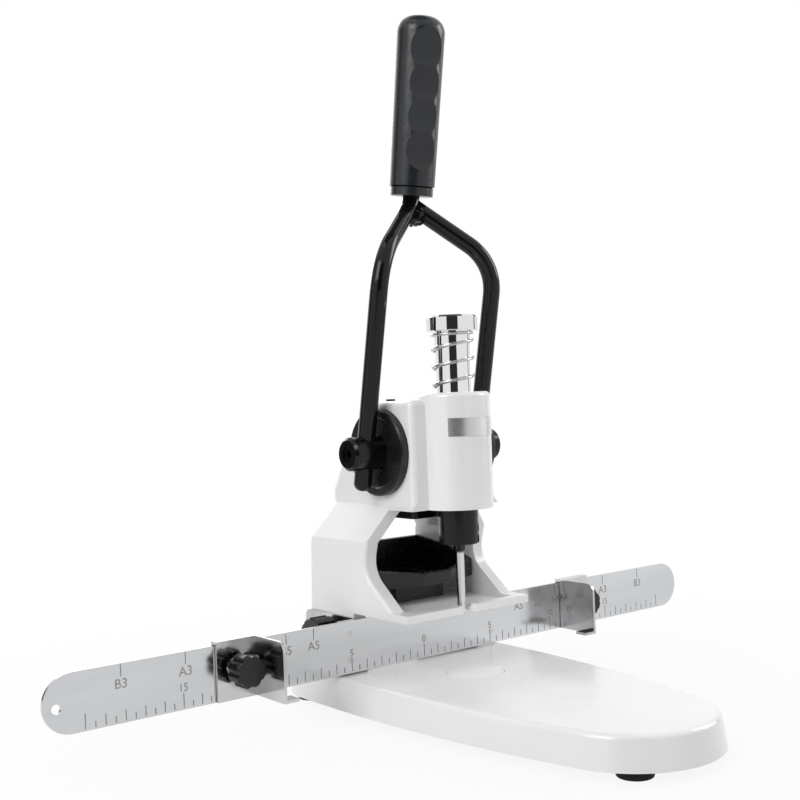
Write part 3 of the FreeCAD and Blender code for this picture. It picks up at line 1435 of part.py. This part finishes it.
def build_chip_bin():
    """Open tray on the ledge: a wide hopper with a sloping rim and a front lip, over a narrower well."""
    body = new_body("chip_bin")
    floor = "ledge_floor"
    step = "(ledge_floor + bin_step_height)"
    pad(body, outline(level_sketch(body, "hopper", step), bin_plan("0")), "bin_rear_height - bin_step_height")
    rim = outline(side_sketch(body, "rim", "-bin_half_width - cut_margin"), [
        ("bin_lip_place - cut_margin", "ledge_floor + bin_lip_height"),
        ("bin_lip_place", "ledge_floor + bin_lip_height"), ("bin_front", "ledge_floor + bin_front_height"),
        ("bin_middle", "ledge_floor + bin_middle_height"), ("bin_rear", "ledge_floor + bin_rear_height"),
        ("bin_rear", "ledge_floor + bin_rear_height + cut_margin"),
        ("bin_lip_place - cut_margin", "ledge_floor + bin_rear_height + cut_margin"),
    ])
    pocket(body, rim, "2 * (bin_half_width + cut_margin)")
    well = box_outline(level_sketch(body, "well", floor), "-bin_well_half_width",
                       "bin_front + bin_well_front_inset", "bin_well_half_width",
                       "bin_rear - bin_well_rear_inset")
    pad(body, well, "bin_step_height")
    inside = outline(level_sketch(body, "inside", step + " + bin_wall"), bin_plan("bin_wall"))
    pocket(body, inside, "bin_rear_height")
    sump = box_outline(level_sketch(body, "sump", floor + " + bin_wall"), "bin_wall - bin_well_half_width",
                       "bin_front + bin_well_front_inset + bin_wall", "bin_well_half_width - bin_wall",
                       "bin_rear - bin_well_rear_inset - bin_wall")
    pocket(body, sump, "bin_step_height + cut_margin")
    return keep(body)


def build_all():
    fill_sheet()
    build_base_plate()
    build_feet()
    build_foot_screws()
    build_cutting_pad()
    build_head_casting()
    build_casting_bolts()
    build_gear_cover()
    for side in SIDES:
        build_shaft_side(side)
    build_bush_set_screws()
    build_cross_shaft()
    build_clamp_screws()
    build_pinion()
    build_pinion_key()
    build_lever_rods()
    build_grip()
    build_ram()
    build_ram_cap()
    build_return_spring()
    build_ram_bush()
    build_tool_holder()
    build_holder_screw()
    build_hollow_drill()
    build_ruler()
    for side in SIDES:
        build_carrier(side)
        build_margin_knob(side)
        build_stop(side)
        build_stop_knob(side)
    build_rivets()
    build_chip_bin()
    doc.recompute()


def check_and_write():
    """Stops if anything failed to build, and writes each piece's shape."""
    for item in doc.Objects:
        if "Invalid" in item.State or "Error" in item.State:
            raise RuntimeError("%s is %s" % (item.Name, item.State))
    os.makedirs("parts", exist_ok=True)
    for node in nodes:
        if node.Shape.isNull() or not node.Shape.isValid():
            raise RuntimeError(node.Label + " has no valid shape")
    for node in nodes:
        node.Shape.exportStep("parts/%s.step" % node.Label)
        print("%-24s %2d solids %10.1f mm3" % (node.Label, len(node.Shape.Solids), node.Shape.Volume))


build_all()
check_and_write()
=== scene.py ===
"""Looks of the paper drill: finishes, ruler marks, label plate, weld bead, spring and a plain studio."""

import json
import math

import bpy
from mathutils import Matrix, Vector


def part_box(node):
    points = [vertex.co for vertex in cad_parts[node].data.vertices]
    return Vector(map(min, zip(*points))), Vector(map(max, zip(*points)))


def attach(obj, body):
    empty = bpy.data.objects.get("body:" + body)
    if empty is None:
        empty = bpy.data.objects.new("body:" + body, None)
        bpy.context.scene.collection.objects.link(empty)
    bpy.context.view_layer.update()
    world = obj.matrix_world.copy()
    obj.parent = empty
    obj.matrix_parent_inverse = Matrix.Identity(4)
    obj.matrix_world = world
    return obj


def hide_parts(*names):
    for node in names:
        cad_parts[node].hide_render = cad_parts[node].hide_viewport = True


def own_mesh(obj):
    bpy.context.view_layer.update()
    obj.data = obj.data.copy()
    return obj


MM = 0.001

SPRING_WIRE = 0.8 * MM
SPRING_TOP_GAP = 0.05 * MM
SPRING_OPEN_TURNS, SPRING_END_TURNS = 4.25, 0.85
SPRING_STEPS = 48
SPRING_START = 20

WELD_PLACE = (-0.4 * MM, 58.6 * MM)
WELD_DROP = 9.5 * MM
WELD_REACH = 6.4 * MM
WELD_ROWS, WELD_SIDES = 14, 22

PLATE_INNER, PLATE_OUTER = 19.22 * MM, 19.46 * MM
PLATE_BOTTOM, PLATE_TOP = 146.8 * MM, 156.4 * MM
PLATE_HALF_ANGLE, PLATE_STEPS = 52, 36

# Painted shade on the drill: nearly black from 4.0 mm below the holder upwards, fading out by 5.5 mm below
# it.
DRILL_SHADE_START, DRILL_SHADE_END = 4.0 * MM, 5.5 * MM

WORLD_LIGHT, WORLD_SEEN = 0.43, 1.0
FLOOR_REACH = 6.0
CAMERA_PLACE = (-413.9, -445.8, 169.9)
CAMERA_RIGHT = (0.78375, -0.62001, -0.03717)
CAMERA_FORWARD = (0.6203, 0.7844, -0.0049)
CAMERA_LENS, CAMERA_SENSOR = 52.76, 36

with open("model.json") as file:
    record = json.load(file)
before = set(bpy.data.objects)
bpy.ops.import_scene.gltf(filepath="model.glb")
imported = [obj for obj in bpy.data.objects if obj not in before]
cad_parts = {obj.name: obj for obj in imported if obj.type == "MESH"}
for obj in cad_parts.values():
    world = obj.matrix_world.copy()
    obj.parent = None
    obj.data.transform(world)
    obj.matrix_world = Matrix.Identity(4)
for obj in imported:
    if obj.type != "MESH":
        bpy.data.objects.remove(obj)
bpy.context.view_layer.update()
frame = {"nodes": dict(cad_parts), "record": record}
cad_nodes = frame["nodes"]


# Node materials

def new_surface(name):
    material = bpy.data.materials.new(name)
    material.use_nodes = True
    tree = material.node_tree
    return material, tree, tree.nodes["Principled BSDF"]


def texture_point(tree, stretch=(1, 1, 1)):
    """Object coordinates in metres, stretched along the axes."""
    coordinates = tree.nodes.new("ShaderNodeTexCoord")
    mapping = tree.nodes.new("ShaderNodeMapping")
    mapping.inputs["Scale"].default_value = stretch
    tree.links.new(coordinates.outputs["Object"], mapping.inputs["Vector"])
    return mapping.outputs["Vector"]


def noise(tree, point, scale, detail=3.0):
    node = tree.nodes.new("ShaderNodeTexNoise")
    node.inputs["Scale"].default_value = scale
    node.inputs["Detail"].default_value = detail
    tree.links.new(point, node.inputs["Vector"])
    return node.outputs["Fac"]


def colour_ramp(tree, factor, stops):
    node = tree.nodes.new("ShaderNodeValToRGB")
    ramp = node.color_ramp
    while len(ramp.elements) < len(stops):
        ramp.elements.new(0.5)
    for element, (place, colour) in zip(ramp.elements, stops):
        element.position = place
        element.color = (*colour, 1)
    tree.links.new(factor, node.inputs["Fac"])
    return node.outputs["Color"]


def value_range(tree, factor, low, high, from_low=0.3, from_high=0.7):
    node = tree.nodes.new("ShaderNodeMapRange")
    node.inputs["From Min"].default_value = from_low
    node.inputs["From Max"].default_value = from_high
    node.inputs["To Min"].default_value = low
    node.inputs["To Max"].default_value = high
    tree.links.new(factor, node.inputs["Value"])
    return node.outputs["Result"]


def bump(tree, shader, height, strength, distance):
    node = tree.nodes.new("ShaderNodeBump")
    node.inputs["Strength"].default_value = strength
    node.inputs["Distance"].default_value = distance
    tree.links.new(height, node.inputs["Height"])
    tree.links.new(node.outputs["Normal"], shader.inputs["Normal"])


def surface(name, dark, light, rough, grain=400.0, relief=0.1, metallic=0.0, coat=0.0, stretch=(1, 1, 1),
            patches=35.0, specular=0.5):
    """A finish with a faint drift of colour, uneven gloss and a fine grain."""
    material, tree, shader = new_surface(name)
    point = texture_point(tree, stretch)
    drift = noise(tree, point, patches)
    fine = noise(tree, point, grain, 2.0)
    tree.links.new(colour_ramp(tree, drift, [(0.3, dark), (0.7, light)]), shader.inputs["Base Color"])
    tree.links.new(value_range(tree, fine, *rough), shader.inputs["Roughness"])
    bump(tree, shader, fine, relief, 0.1 * MM)
    shader.inputs["Metallic"].default_value = metallic
    shader.inputs["Coat Weight"].default_value = coat
    shader.inputs["Coat Roughness"].default_value = 0.08
    shader.inputs["Specular IOR Level"].default_value = specular
    return material


def grey(value, warm=0.0):
    return (value + warm, value, value - warm)


FINISHES = {
    "white_paint": surface("white_enamel", grey(0.80, 0.004), grey(0.83, 0.004), (0.2, 0.27), grain=260.0,
                           relief=0.05, coat=0.3),
    "rubber": surface("foot_rubber", grey(0.010), grey(0.018), (0.6, 0.8), grain=1500.0, relief=0.3,
                      specular=0.2),
    "steel": surface("turned_steel", grey(0.50), grey(0.62), (0.09, 0.15), grain=300.0, relief=0.04,
                     metallic=1.0, stretch=(1, 1, 0.05)),
    "spring_steel": surface("plated_spring_wire", grey(0.42), grey(0.56), (0.08, 0.16), metallic=1.0,
                            relief=0.04),
    "black_steel": surface("black_lacquer", grey(0.003), grey(0.005), (0.11, 0.17), grain=300.0, relief=0.05,
                           specular=0.26),
    "black_plastic": surface("moulded_black_plastic", grey(0.004), grey(0.008), (0.22, 0.32), grain=900.0,
                             relief=0.08, specular=0.4),
    "grip_plastic": surface("satin_black_grip", (0.009, 0.010, 0.012), (0.014, 0.016, 0.019), (0.24, 0.32),
                            grain=500.0, relief=0.05, specular=0.42),
    "bronze": surface("sintered_bronze", (0.5, 0.33, 0.16), (0.66, 0.46, 0.25), (0.3, 0.45), metallic=1.0),
    "chrome": surface("polished_chrome", grey(0.72), grey(0.80), (0.04, 0.07), grain=200.0, relief=0.02,
                      metallic=1.0),
    "nylon": surface("cream_nylon", (0.82, 0.815, 0.80), (0.85, 0.845, 0.83), (0.35, 0.5), grain=500.0,
                     relief=0.06),
    "ruler_chrome": surface("plated_ruler", (0.54, 0.55, 0.56), (0.67, 0.68, 0.70), (0.13, 0.22), grain=120.0,
                            relief=0.05, metallic=1.0, stretch=(0.3, 1, 2), patches=14.0),
    "zinc_sheet": surface("plated_sheet", grey(0.46), grey(0.62), (0.12, 0.2), grain=150.0, relief=0.05,
                          metallic=1.0, patches=45.0),
}
MARK_INK = surface("etched_ink", grey(0.15), grey(0.28), (0.4, 0.6), grain=900.0, relief=0.05, patches=300.0,
                   specular=0.3)
WORD_INK = surface("etched_word_ink", grey(0.26), grey(0.42), (0.4, 0.6), grain=900.0, relief=0.05,
                   patches=300.0, specular=0.3)


def drill_steel():
    """Drawn tube with lengthwise streak marks that are partly painted dark reflection bands, and painted
    shade darkening the shoulder under the holder.
    """
    material, tree, shader = new_surface("drawn_drill_steel_painted_shade")
    drill = cad_nodes["hollow_drill"]
    holder_low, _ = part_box("tool_holder")
    into_drill = drill.matrix_world.inverted()
    shade_end = (into_drill @ Vector((0, 0, holder_low.z - DRILL_SHADE_END))).z
    shade_start = (into_drill @ Vector((0, 0, holder_low.z - DRILL_SHADE_START))).z
    # Painted reflection: the dark lengthwise streaks in the colour are partly drawing marks and partly
    # painted dark reflection bands.
    streaks_and_reflection_bands = noise(tree, texture_point(tree, (1, 1, 0.02)), 380.0, 1.0)
    streak_and_reflection_colour = colour_ramp(tree, streaks_and_reflection_bands, [(0.42, grey(0.10)), (0.55, grey(0.62))])
    parts = tree.nodes.new("ShaderNodeSeparateXYZ")
    tree.links.new(texture_point(tree), parts.inputs["Vector"])
    # Painted shade: the colour darkens to near black at the shoulder just under the holder, where the
    # holder's shade falls.
    holder_shade = value_range(tree, parts.outputs["Z"], 1.0, 0.06, shade_end, shade_start)
    blend = tree.nodes.new("ShaderNodeMix")
    blend.data_type = "RGBA"
    blend.blend_type = "MULTIPLY"
    blend.inputs["Factor"].default_value = 1.0
    tree.links.new(streak_and_reflection_colour, blend.inputs[6])
    tree.links.new(holder_shade, blend.inputs[7])
    tree.links.new(blend.outputs[2], shader.inputs["Base Color"])
    tree.links.new(value_range(tree, streaks_and_reflection_bands, 0.1, 0.18), shader.inputs["Roughness"])
    shader.inputs["Metallic"].default_value = 1.0
    return material


def smooth(mesh, angle=32):
    mesh.polygons.foreach_set("use_smooth", [True] * len(mesh.polygons))
    mesh.set_sharp_from_angle(angle=math.radians(angle))


for entry in frame["record"]["subparts"]:
    cad_nodes[entry["node"]].data.materials.clear()
    cad_nodes[entry["node"]].data.materials.append(FINISHES[entry["material_slot"]])
cad_nodes["hollow_drill"].data.materials[0] = drill_steel()


# New pieces

def add_piece(name, mesh, body, material):
    obj = bpy.data.objects.new(name, mesh)
    bpy.context.scene.collection.objects.link(obj)
    obj.data.materials.clear()
    obj.data.materials.append(material)
    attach(obj, body)
    return obj


def mesh_object(name, points, faces, slot_name, body, material=None):
    mesh = bpy.data.meshes.new(name)
    mesh.from_pydata([tuple(point) for point in points], [], faces)
    mesh.validate()
    mesh.update()
    smooth(mesh)
    return add_piece(name, mesh, body, material or FINISHES[slot_name])


def swept_tube(path, radius, sides=14):
    """Points and faces of a round tube along a path of points, with closed ends."""
    points, faces = [], []
    for index, spot in enumerate(path):
        ahead = path[min(index + 1, len(path) - 1)] - path[max(index - 1, 0)]
        out = Vector((0, 0, 1)).cross(ahead).normalized()
        up = ahead.cross(out).normalized()
        for side in range(sides):
            turn = 2 * math.pi * side / sides
            points.append(spot + out * (radius * math.cos(turn)) + up * (radius * math.sin(turn)))
    for ring in range(len(path) - 1):
        for side in range(sides):
            after = (side + 1) % sides
            faces.append((ring * sides + side, ring * sides + after, (ring + 1) * sides + after,
                          (ring + 1) * sides + side))
    faces.append(tuple(reversed(range(sides))))
    faces.append(tuple((len(path) - 1) * sides + side for side in range(sides)))
    return points, faces


def build_spring():
    """Open coil between the boss's floor and the cap, with a closed turn at each end."""
    low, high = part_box("return_spring")
    centre = (low + high) / 2
    mean_radius = (high.x - low.x) / 2 - SPRING_WIRE
    bottom, top = low.z + SPRING_WIRE, high.z - SPRING_WIRE - SPRING_TOP_GAP
    closed_rise = 2 * SPRING_WIRE * SPRING_END_TURNS
    total = SPRING_OPEN_TURNS + 2 * SPRING_END_TURNS
    path = []
    for step in range(int(total * SPRING_STEPS) + 1):
        turn = step / SPRING_STEPS
        if turn < SPRING_END_TURNS:
            height = bottom + closed_rise * turn / SPRING_END_TURNS
        elif turn > total - SPRING_END_TURNS:
            height = top - closed_rise * (total - turn) / SPRING_END_TURNS
        else:
            share = (turn - SPRING_END_TURNS) / SPRING_OPEN_TURNS
            height = bottom + closed_rise + (top - bottom - 2 * closed_rise) * share
        angle = 2 * math.pi * turn + math.radians(SPRING_START)
        path.append(Vector((centre.x + mean_radius * math.cos(angle),
                            centre.y + mean_radius * math.sin(angle), height)))
    points, faces = swept_tube(path, SPRING_WIRE)
    spring = mesh_object("return_spring_coil", points, faces, "spring_steel", "frame")
    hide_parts("return_spring")
    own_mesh(spring)


def build_weld_bead():
    """Lumpy bead where the right rod is welded to the left one, under the grip."""
    grip_low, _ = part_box("lever_grip")
    centre = Vector((*WELD_PLACE, grip_low.z - WELD_DROP))
    rows, sides = WELD_ROWS, WELD_SIDES
    points, faces = [], []
    for row in range(1, rows):
        tilt = math.pi * row / rows
        for side in range(sides):
            turn = 2 * math.pi * side / sides
            lump = 1 + 0.10 * math.sin(5 * turn + 2 * tilt) + 0.07 * math.sin(7 * tilt - 3 * turn)
            outward = Vector((math.sin(tilt) * math.cos(turn) * 1.15, math.sin(tilt) * math.sin(turn),
                              math.cos(tilt) * 0.85))
            points.append(centre + outward * (WELD_REACH * lump))
    for row in range(rows - 2):
        for side in range(sides):
            after = (side + 1) % sides
            faces.append((row * sides + side, row * sides + sides + side, row * sides + sides + after,
                          row * sides + after))
    faces.append(tuple(range(sides)))
    faces.append(tuple(reversed([(rows - 2) * sides + side for side in range(sides)])))
    mesh_object("lever_weld_bead", points, faces, "black_steel", "lever")


def build_label_plate():
    """Blank plate that is wrapped round the front of the boss, with a painted sheen: darker on the left,
    lighter on the right.
    """
    low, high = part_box("ram")
    centre = (low + high) / 2
    steps = PLATE_STEPS
    edge = ((PLATE_INNER, PLATE_BOTTOM), (PLATE_OUTER, PLATE_BOTTOM),
            (PLATE_OUTER, PLATE_TOP), (PLATE_INNER, PLATE_TOP))
    points, faces = [], []
    for step in range(steps + 1):
        angle = math.radians(-PLATE_HALF_ANGLE + 2 * PLATE_HALF_ANGLE * step / steps)
        for radius, height in edge:
            points.append((centre.x + radius * math.sin(angle), centre.y - radius * math.cos(angle), height))
    for step in range(steps):
        for corner in range(4):
            after = (corner + 1) % 4
            faces.append((4 * step + corner, 4 * step + after, 4 * step + 4 + after, 4 * step + 4 + corner))
    faces.append((3, 2, 1, 0))
    faces.append(tuple(4 * steps + corner for corner in range(4)))
    material, tree, shader = new_surface("brushed_plate_painted_sheen")
    point = texture_point(tree, (1, 1, 12))
    across = tree.nodes.new("ShaderNodeSeparateXYZ")
    plain = texture_point(tree)
    tree.links.new(plain, across.inputs["Vector"])
    # Painted sheen and shade: the colour runs from darker grey on the left to light grey on the right,
    # standing in for how light falls across the curved plate.
    painted_sheen = value_range(tree, across.outputs["X"], 0.0, 1.0, -16 * MM, 14 * MM)
    tree.links.new(colour_ramp(tree, painted_sheen, [(0.0, grey(0.40)), (0.45, grey(0.58)), (1.0, grey(0.76))]),
                   shader.inputs["Base Color"])
    fine = noise(tree, point, 900.0, 2.0)
    tree.links.new(value_range(tree, fine, 0.25, 0.4), shader.inputs["Roughness"])
    bump(tree, shader, fine, 0.1, 0.05 * MM)
    shader.inputs["Metallic"].default_value = 1.0
    mesh_object("label_plate_blank", points, faces, "steel", "frame", material)


build_spring()
build_weld_bead()
build_label_plate()


# Ruler marks

RULER_LOW, RULER_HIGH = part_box("ruler")
MARK_FACE, MARK_ROOT = RULER_LOW.y - 0.04 * MM, RULER_LOW.y + 0.2 * MM
MARK_WIDTH, MARK_SPACING, MARK_RISE = 0.45 * MM, 5 * MM, 0.9 * MM
LONG_MARK, MIDDLE_MARK, SHORT_MARK = 7.2 * MM, 5.2 * MM, 3.0 * MM
MARKS_PER_SIDE = 40
NUMBER_PLACES = (0, 50, 100, 150)
NUMBER_RISE, NUMBER_SIZE = 9.0 * MM, 5.4 * MM
PAPER_MARK_DROP, PAPER_MARK_LENGTH = 6.2 * MM, 5.6 * MM
PAPER_WORD_DROP, PAPER_WORD_SIZE = 11.6 * MM, 6.4 * MM
PAPER_MARKS = [("B3", 182.0), ("A3", 148.5), ("B4", 128.5), ("A4", 105.0), ("B5", 91.0), ("A5", 74.0)]


def add_bar(points, faces, across, bottom, height):
    """One upright mark in the ruler's face."""
    start = len(points)
    for depth in (MARK_FACE, MARK_ROOT):
        for x, z in ((-MARK_WIDTH / 2, bottom), (MARK_WIDTH / 2, bottom), (MARK_WIDTH / 2, bottom + height),
                     (-MARK_WIDTH / 2, bottom + height)):
            points.append((across + x, depth, z))
    faces.append((start, start + 1, start + 2, start + 3))
    for corner in range(4):
        after = (corner + 1) % 4
        faces.append((start + corner, start + 4 + corner, start + 4 + after, start + after))


def build_ruler_bars():
    points, faces = [], []
    floor, top = RULER_LOW.z, RULER_HIGH.z
    for half_step in range(-MARKS_PER_SIDE, MARKS_PER_SIDE + 1):
        across = half_step * MARK_SPACING
        if half_step % 10 == 0:
            height = LONG_MARK
        elif half_step % 2 == 0:
            height = MIDDLE_MARK
        else:
            height = SHORT_MARK
        add_bar(points, faces, across, floor + MARK_RISE, height)
    for _, distance in PAPER_MARKS:
        for sign in (-1, 1):
            add_bar(points, faces, sign * distance * MM, top - PAPER_MARK_DROP, PAPER_MARK_LENGTH)
    mesh_object("ruler_marks", points, faces, "ruler_chrome", "ruler", MARK_INK)


def build_text(name, words, across, height, size):
    curve = bpy.data.curves.new(name, "FONT")
    curve.body = words
    curve.size = size
    curve.align_x = "CENTER"
    curve.extrude = 0.06 * MM
    curve.offset = 0.05 * MM
    text = bpy.data.objects.new(name, curve)
    text.matrix_world = Matrix.Translation((across, RULER_LOW.y + 0.02 * MM, height)) @ Matrix.Rotation(
        math.radians(90), 4, "X")
    bpy.context.scene.collection.objects.link(text)
    bpy.context.view_layer.update()
    mesh = bpy.data.meshes.new_from_object(text.evaluated_get(bpy.context.evaluated_depsgraph_get()))
    mesh.transform(text.matrix_world)
    bpy.data.objects.remove(text)
    add_piece(name, mesh, "ruler", WORD_INK)


def build_ruler_words():
    floor, top = RULER_LOW.z, RULER_HIGH.z
    for distance in NUMBER_PLACES:
        for side, sign in (("left", -1), ("right", 1)):
            if distance == 0 and sign == 1:
                continue
            build_text("ruler_number_%s_%d" % (side, distance // 10), str(distance // 10),
                       sign * distance * MM, floor + NUMBER_RISE, NUMBER_SIZE)
    for words, distance in PAPER_MARKS:
        for side, sign in (("left", -1), ("right", 1)):
            build_text("ruler_paper_%s_%s" % (words, side), words, sign * distance * MM,
                       top - PAPER_WORD_DROP, PAPER_WORD_SIZE)


build_ruler_bars()
build_ruler_words()


# Studio

def staged(name, mesh):
    obj = bpy.data.objects.new(name, mesh)
    bpy.context.scene.collection.objects.link(obj)
    return obj


def sight_rays(tree):
    """1 for the rays that show the background: from the camera, off gloss and through glass."""
    path = tree.nodes.new("ShaderNodeLightPath")
    seen = tree.nodes.new("ShaderNodeMath")
    seen.operation = "MAXIMUM"
    tree.links.new(path.outputs["Is Camera Ray"], seen.inputs[0])
    tree.links.new(path.outputs["Is Glossy Ray"], seen.inputs[1])
    also = tree.nodes.new("ShaderNodeMath")
    also.operation = "MAXIMUM"
    tree.links.new(seen.outputs["Value"], also.inputs[0])
    tree.links.new(path.outputs["Is Transmission Ray"], also.inputs[1])
    return also.outputs["Value"]


def build_floor():
    mesh = bpy.data.meshes.new("floor")
    reach = FLOOR_REACH
    mesh.from_pydata([(-reach, -reach, 0), (reach, -reach, 0), (reach, reach, 0), (-reach, reach, 0)], [],
                     [(0, 1, 2, 3)])
    floor = staged("floor", mesh)
    material, tree, shader = new_surface("pale_floor")
    point = texture_point(tree)
    tree.links.new(colour_ramp(tree, noise(tree, point, 6.0), [(0.3, grey(0.62)), (0.7, grey(0.65))]),
                   shader.inputs["Base Color"])
    shader.inputs["Roughness"].default_value = 0.8
    white = tree.nodes.new("ShaderNodeEmission")
    mix = tree.nodes.new("ShaderNodeMixShader")
    reach_out = tree.nodes.new("ShaderNodeVectorMath")
    reach_out.operation = "LENGTH"
    tree.links.new(texture_point(tree), reach_out.inputs[0])
    share = tree.nodes.new("ShaderNodeMath")
    share.operation = "MULTIPLY"
    tree.links.new(value_range(tree, reach_out.outputs["Value"], 0.9, 1.0, 0.12, 0.42), share.inputs[1])
    tree.links.new(sight_rays(tree), share.inputs[0])
    tree.links.new(share.outputs["Value"], mix.inputs["Fac"])
    tree.links.new(shader.outputs["BSDF"], mix.inputs[1])
    tree.links.new(white.outputs["Emission"], mix.inputs[2])
    output = tree.nodes["Material Output"]
    tree.links.new(mix.outputs["Shader"], output.inputs["Surface"])
    floor.data.materials.append(material)


def reflected_only(card, brightness):
    """Paper for a card that shows only in reflections."""
    material, _, shader = new_surface(card.name + "_paper")
    shader.inputs["Base Color"].default_value = (*grey(brightness), 1)
    shader.inputs["Roughness"].default_value = 0.9
    card.data.materials.append(material)
    card.visible_camera = False
    card.visible_shadow = False
    card.visible_diffuse = False


def build_card(name, centre, size, turn_z, brightness):
    """An upright card."""
    width, height = size
    mesh = bpy.data.meshes.new(name)
    mesh.from_pydata([(-width / 2, 0, 0), (width / 2, 0, 0), (width / 2, 0, height), (-width / 2, 0, height)],
                     [], [(0, 1, 2, 3)])
    card = staged(name, mesh)
    card.matrix_world = Matrix.Translation(centre) @ Matrix.Rotation(math.radians(turn_z), 4, "Z")
    reflected_only(card, brightness)


def build_ceiling_card(low, high, height, brightness):
    """A level card overhead, which faces down."""
    mesh = bpy.data.meshes.new("ceiling_card")
    mesh.from_pydata([(low[0], low[1], height), (high[0], low[1], height), (high[0], high[1], height),
                      (low[0], high[1], height)], [], [(3, 2, 1, 0)])
    reflected_only(staged("ceiling_card", mesh), brightness)


def build_light(name, location, target, size, power):
    data = bpy.data.lights.new(name, "AREA")
    data.shape = "RECTANGLE"
    data.size, data.size_y = size
    data.energy = power
    lamp = bpy.data.objects.new(name, data)
    lamp.location = location
    lamp.rotation_mode = "QUATERNION"
    lamp.rotation_quaternion = (Vector(target) - Vector(location)).to_track_quat("-Z", "Y")
    bpy.context.scene.collection.objects.link(lamp)


def build_world():
    world = bpy.data.worlds.new("studio")
    world.use_nodes = True
    tree = world.node_tree
    background = tree.nodes["Background"]
    strength = tree.nodes.new("ShaderNodeMapRange")
    strength.inputs["To Min"].default_value = WORLD_LIGHT
    strength.inputs["To Max"].default_value = WORLD_SEEN
    tree.links.new(sight_rays(tree), strength.inputs["Value"])
    tree.links.new(strength.outputs["Result"], background.inputs["Strength"])
    background.inputs["Color"].default_value = (1, 1, 1, 1)
    bpy.context.scene.world = world


def build_camera():
    """The photograph's own viewpoint."""
    data = bpy.data.cameras.new("camera")
    data.sensor_width = CAMERA_SENSOR
    data.lens = CAMERA_LENS
    data.clip_start, data.clip_end = 0.01, 50
    camera = bpy.data.objects.new("camera", data)
    right = Vector(CAMERA_RIGHT).normalized()
    forward = Vector(CAMERA_FORWARD)
    back = -(forward - right * forward.dot(right)).normalized()
    up = back.cross(right)
    turn = Matrix((right, up, back)).transposed().to_4x4()
    camera.matrix_world = Matrix.Translation(Vector(CAMERA_PLACE) * MM) @ turn
    bpy.context.scene.collection.objects.link(camera)
    bpy.context.scene.camera = camera


build_floor()
build_world()
build_light("key", location=(-1.4, -0.25, 0.95), target=(0, 0, 0.12), size=(0.9, 0.9), power=13.5)
build_light("fill", location=(1.3, -0.45, 0.8), target=(0, 0, 0.12), size=(0.8, 0.8), power=11)
build_light("top", location=(0.1, 0.2, 1.5), target=(0, 0, 0.1), size=(1.0, 1.0), power=4.5)
build_light("back", location=(0.3, 1.4, 0.8), target=(0, 0, 0.12), size=(1.0, 0.8), power=7)
build_card("camera_side_card", centre=(-0.62, -0.784, -0.1), size=(0.95, 1.1), turn_z=-38.3, brightness=0.01)
build_card("back_left_card", centre=(-0.68, 0.86, -0.1), size=(0.42, 1.1), turn_z=38.3, brightness=0.06)
build_card("right_edge_card", centre=(1.05, -0.1, -0.1), size=(0.16, 1.1), turn_z=80, brightness=0.06)
build_ceiling_card(low=(-0.22, -0.18), high=(0.42, 0.48), height=1.1, brightness=0.09)
build_camera()
bpy.context.scene.view_settings.view_transform = "Standard"
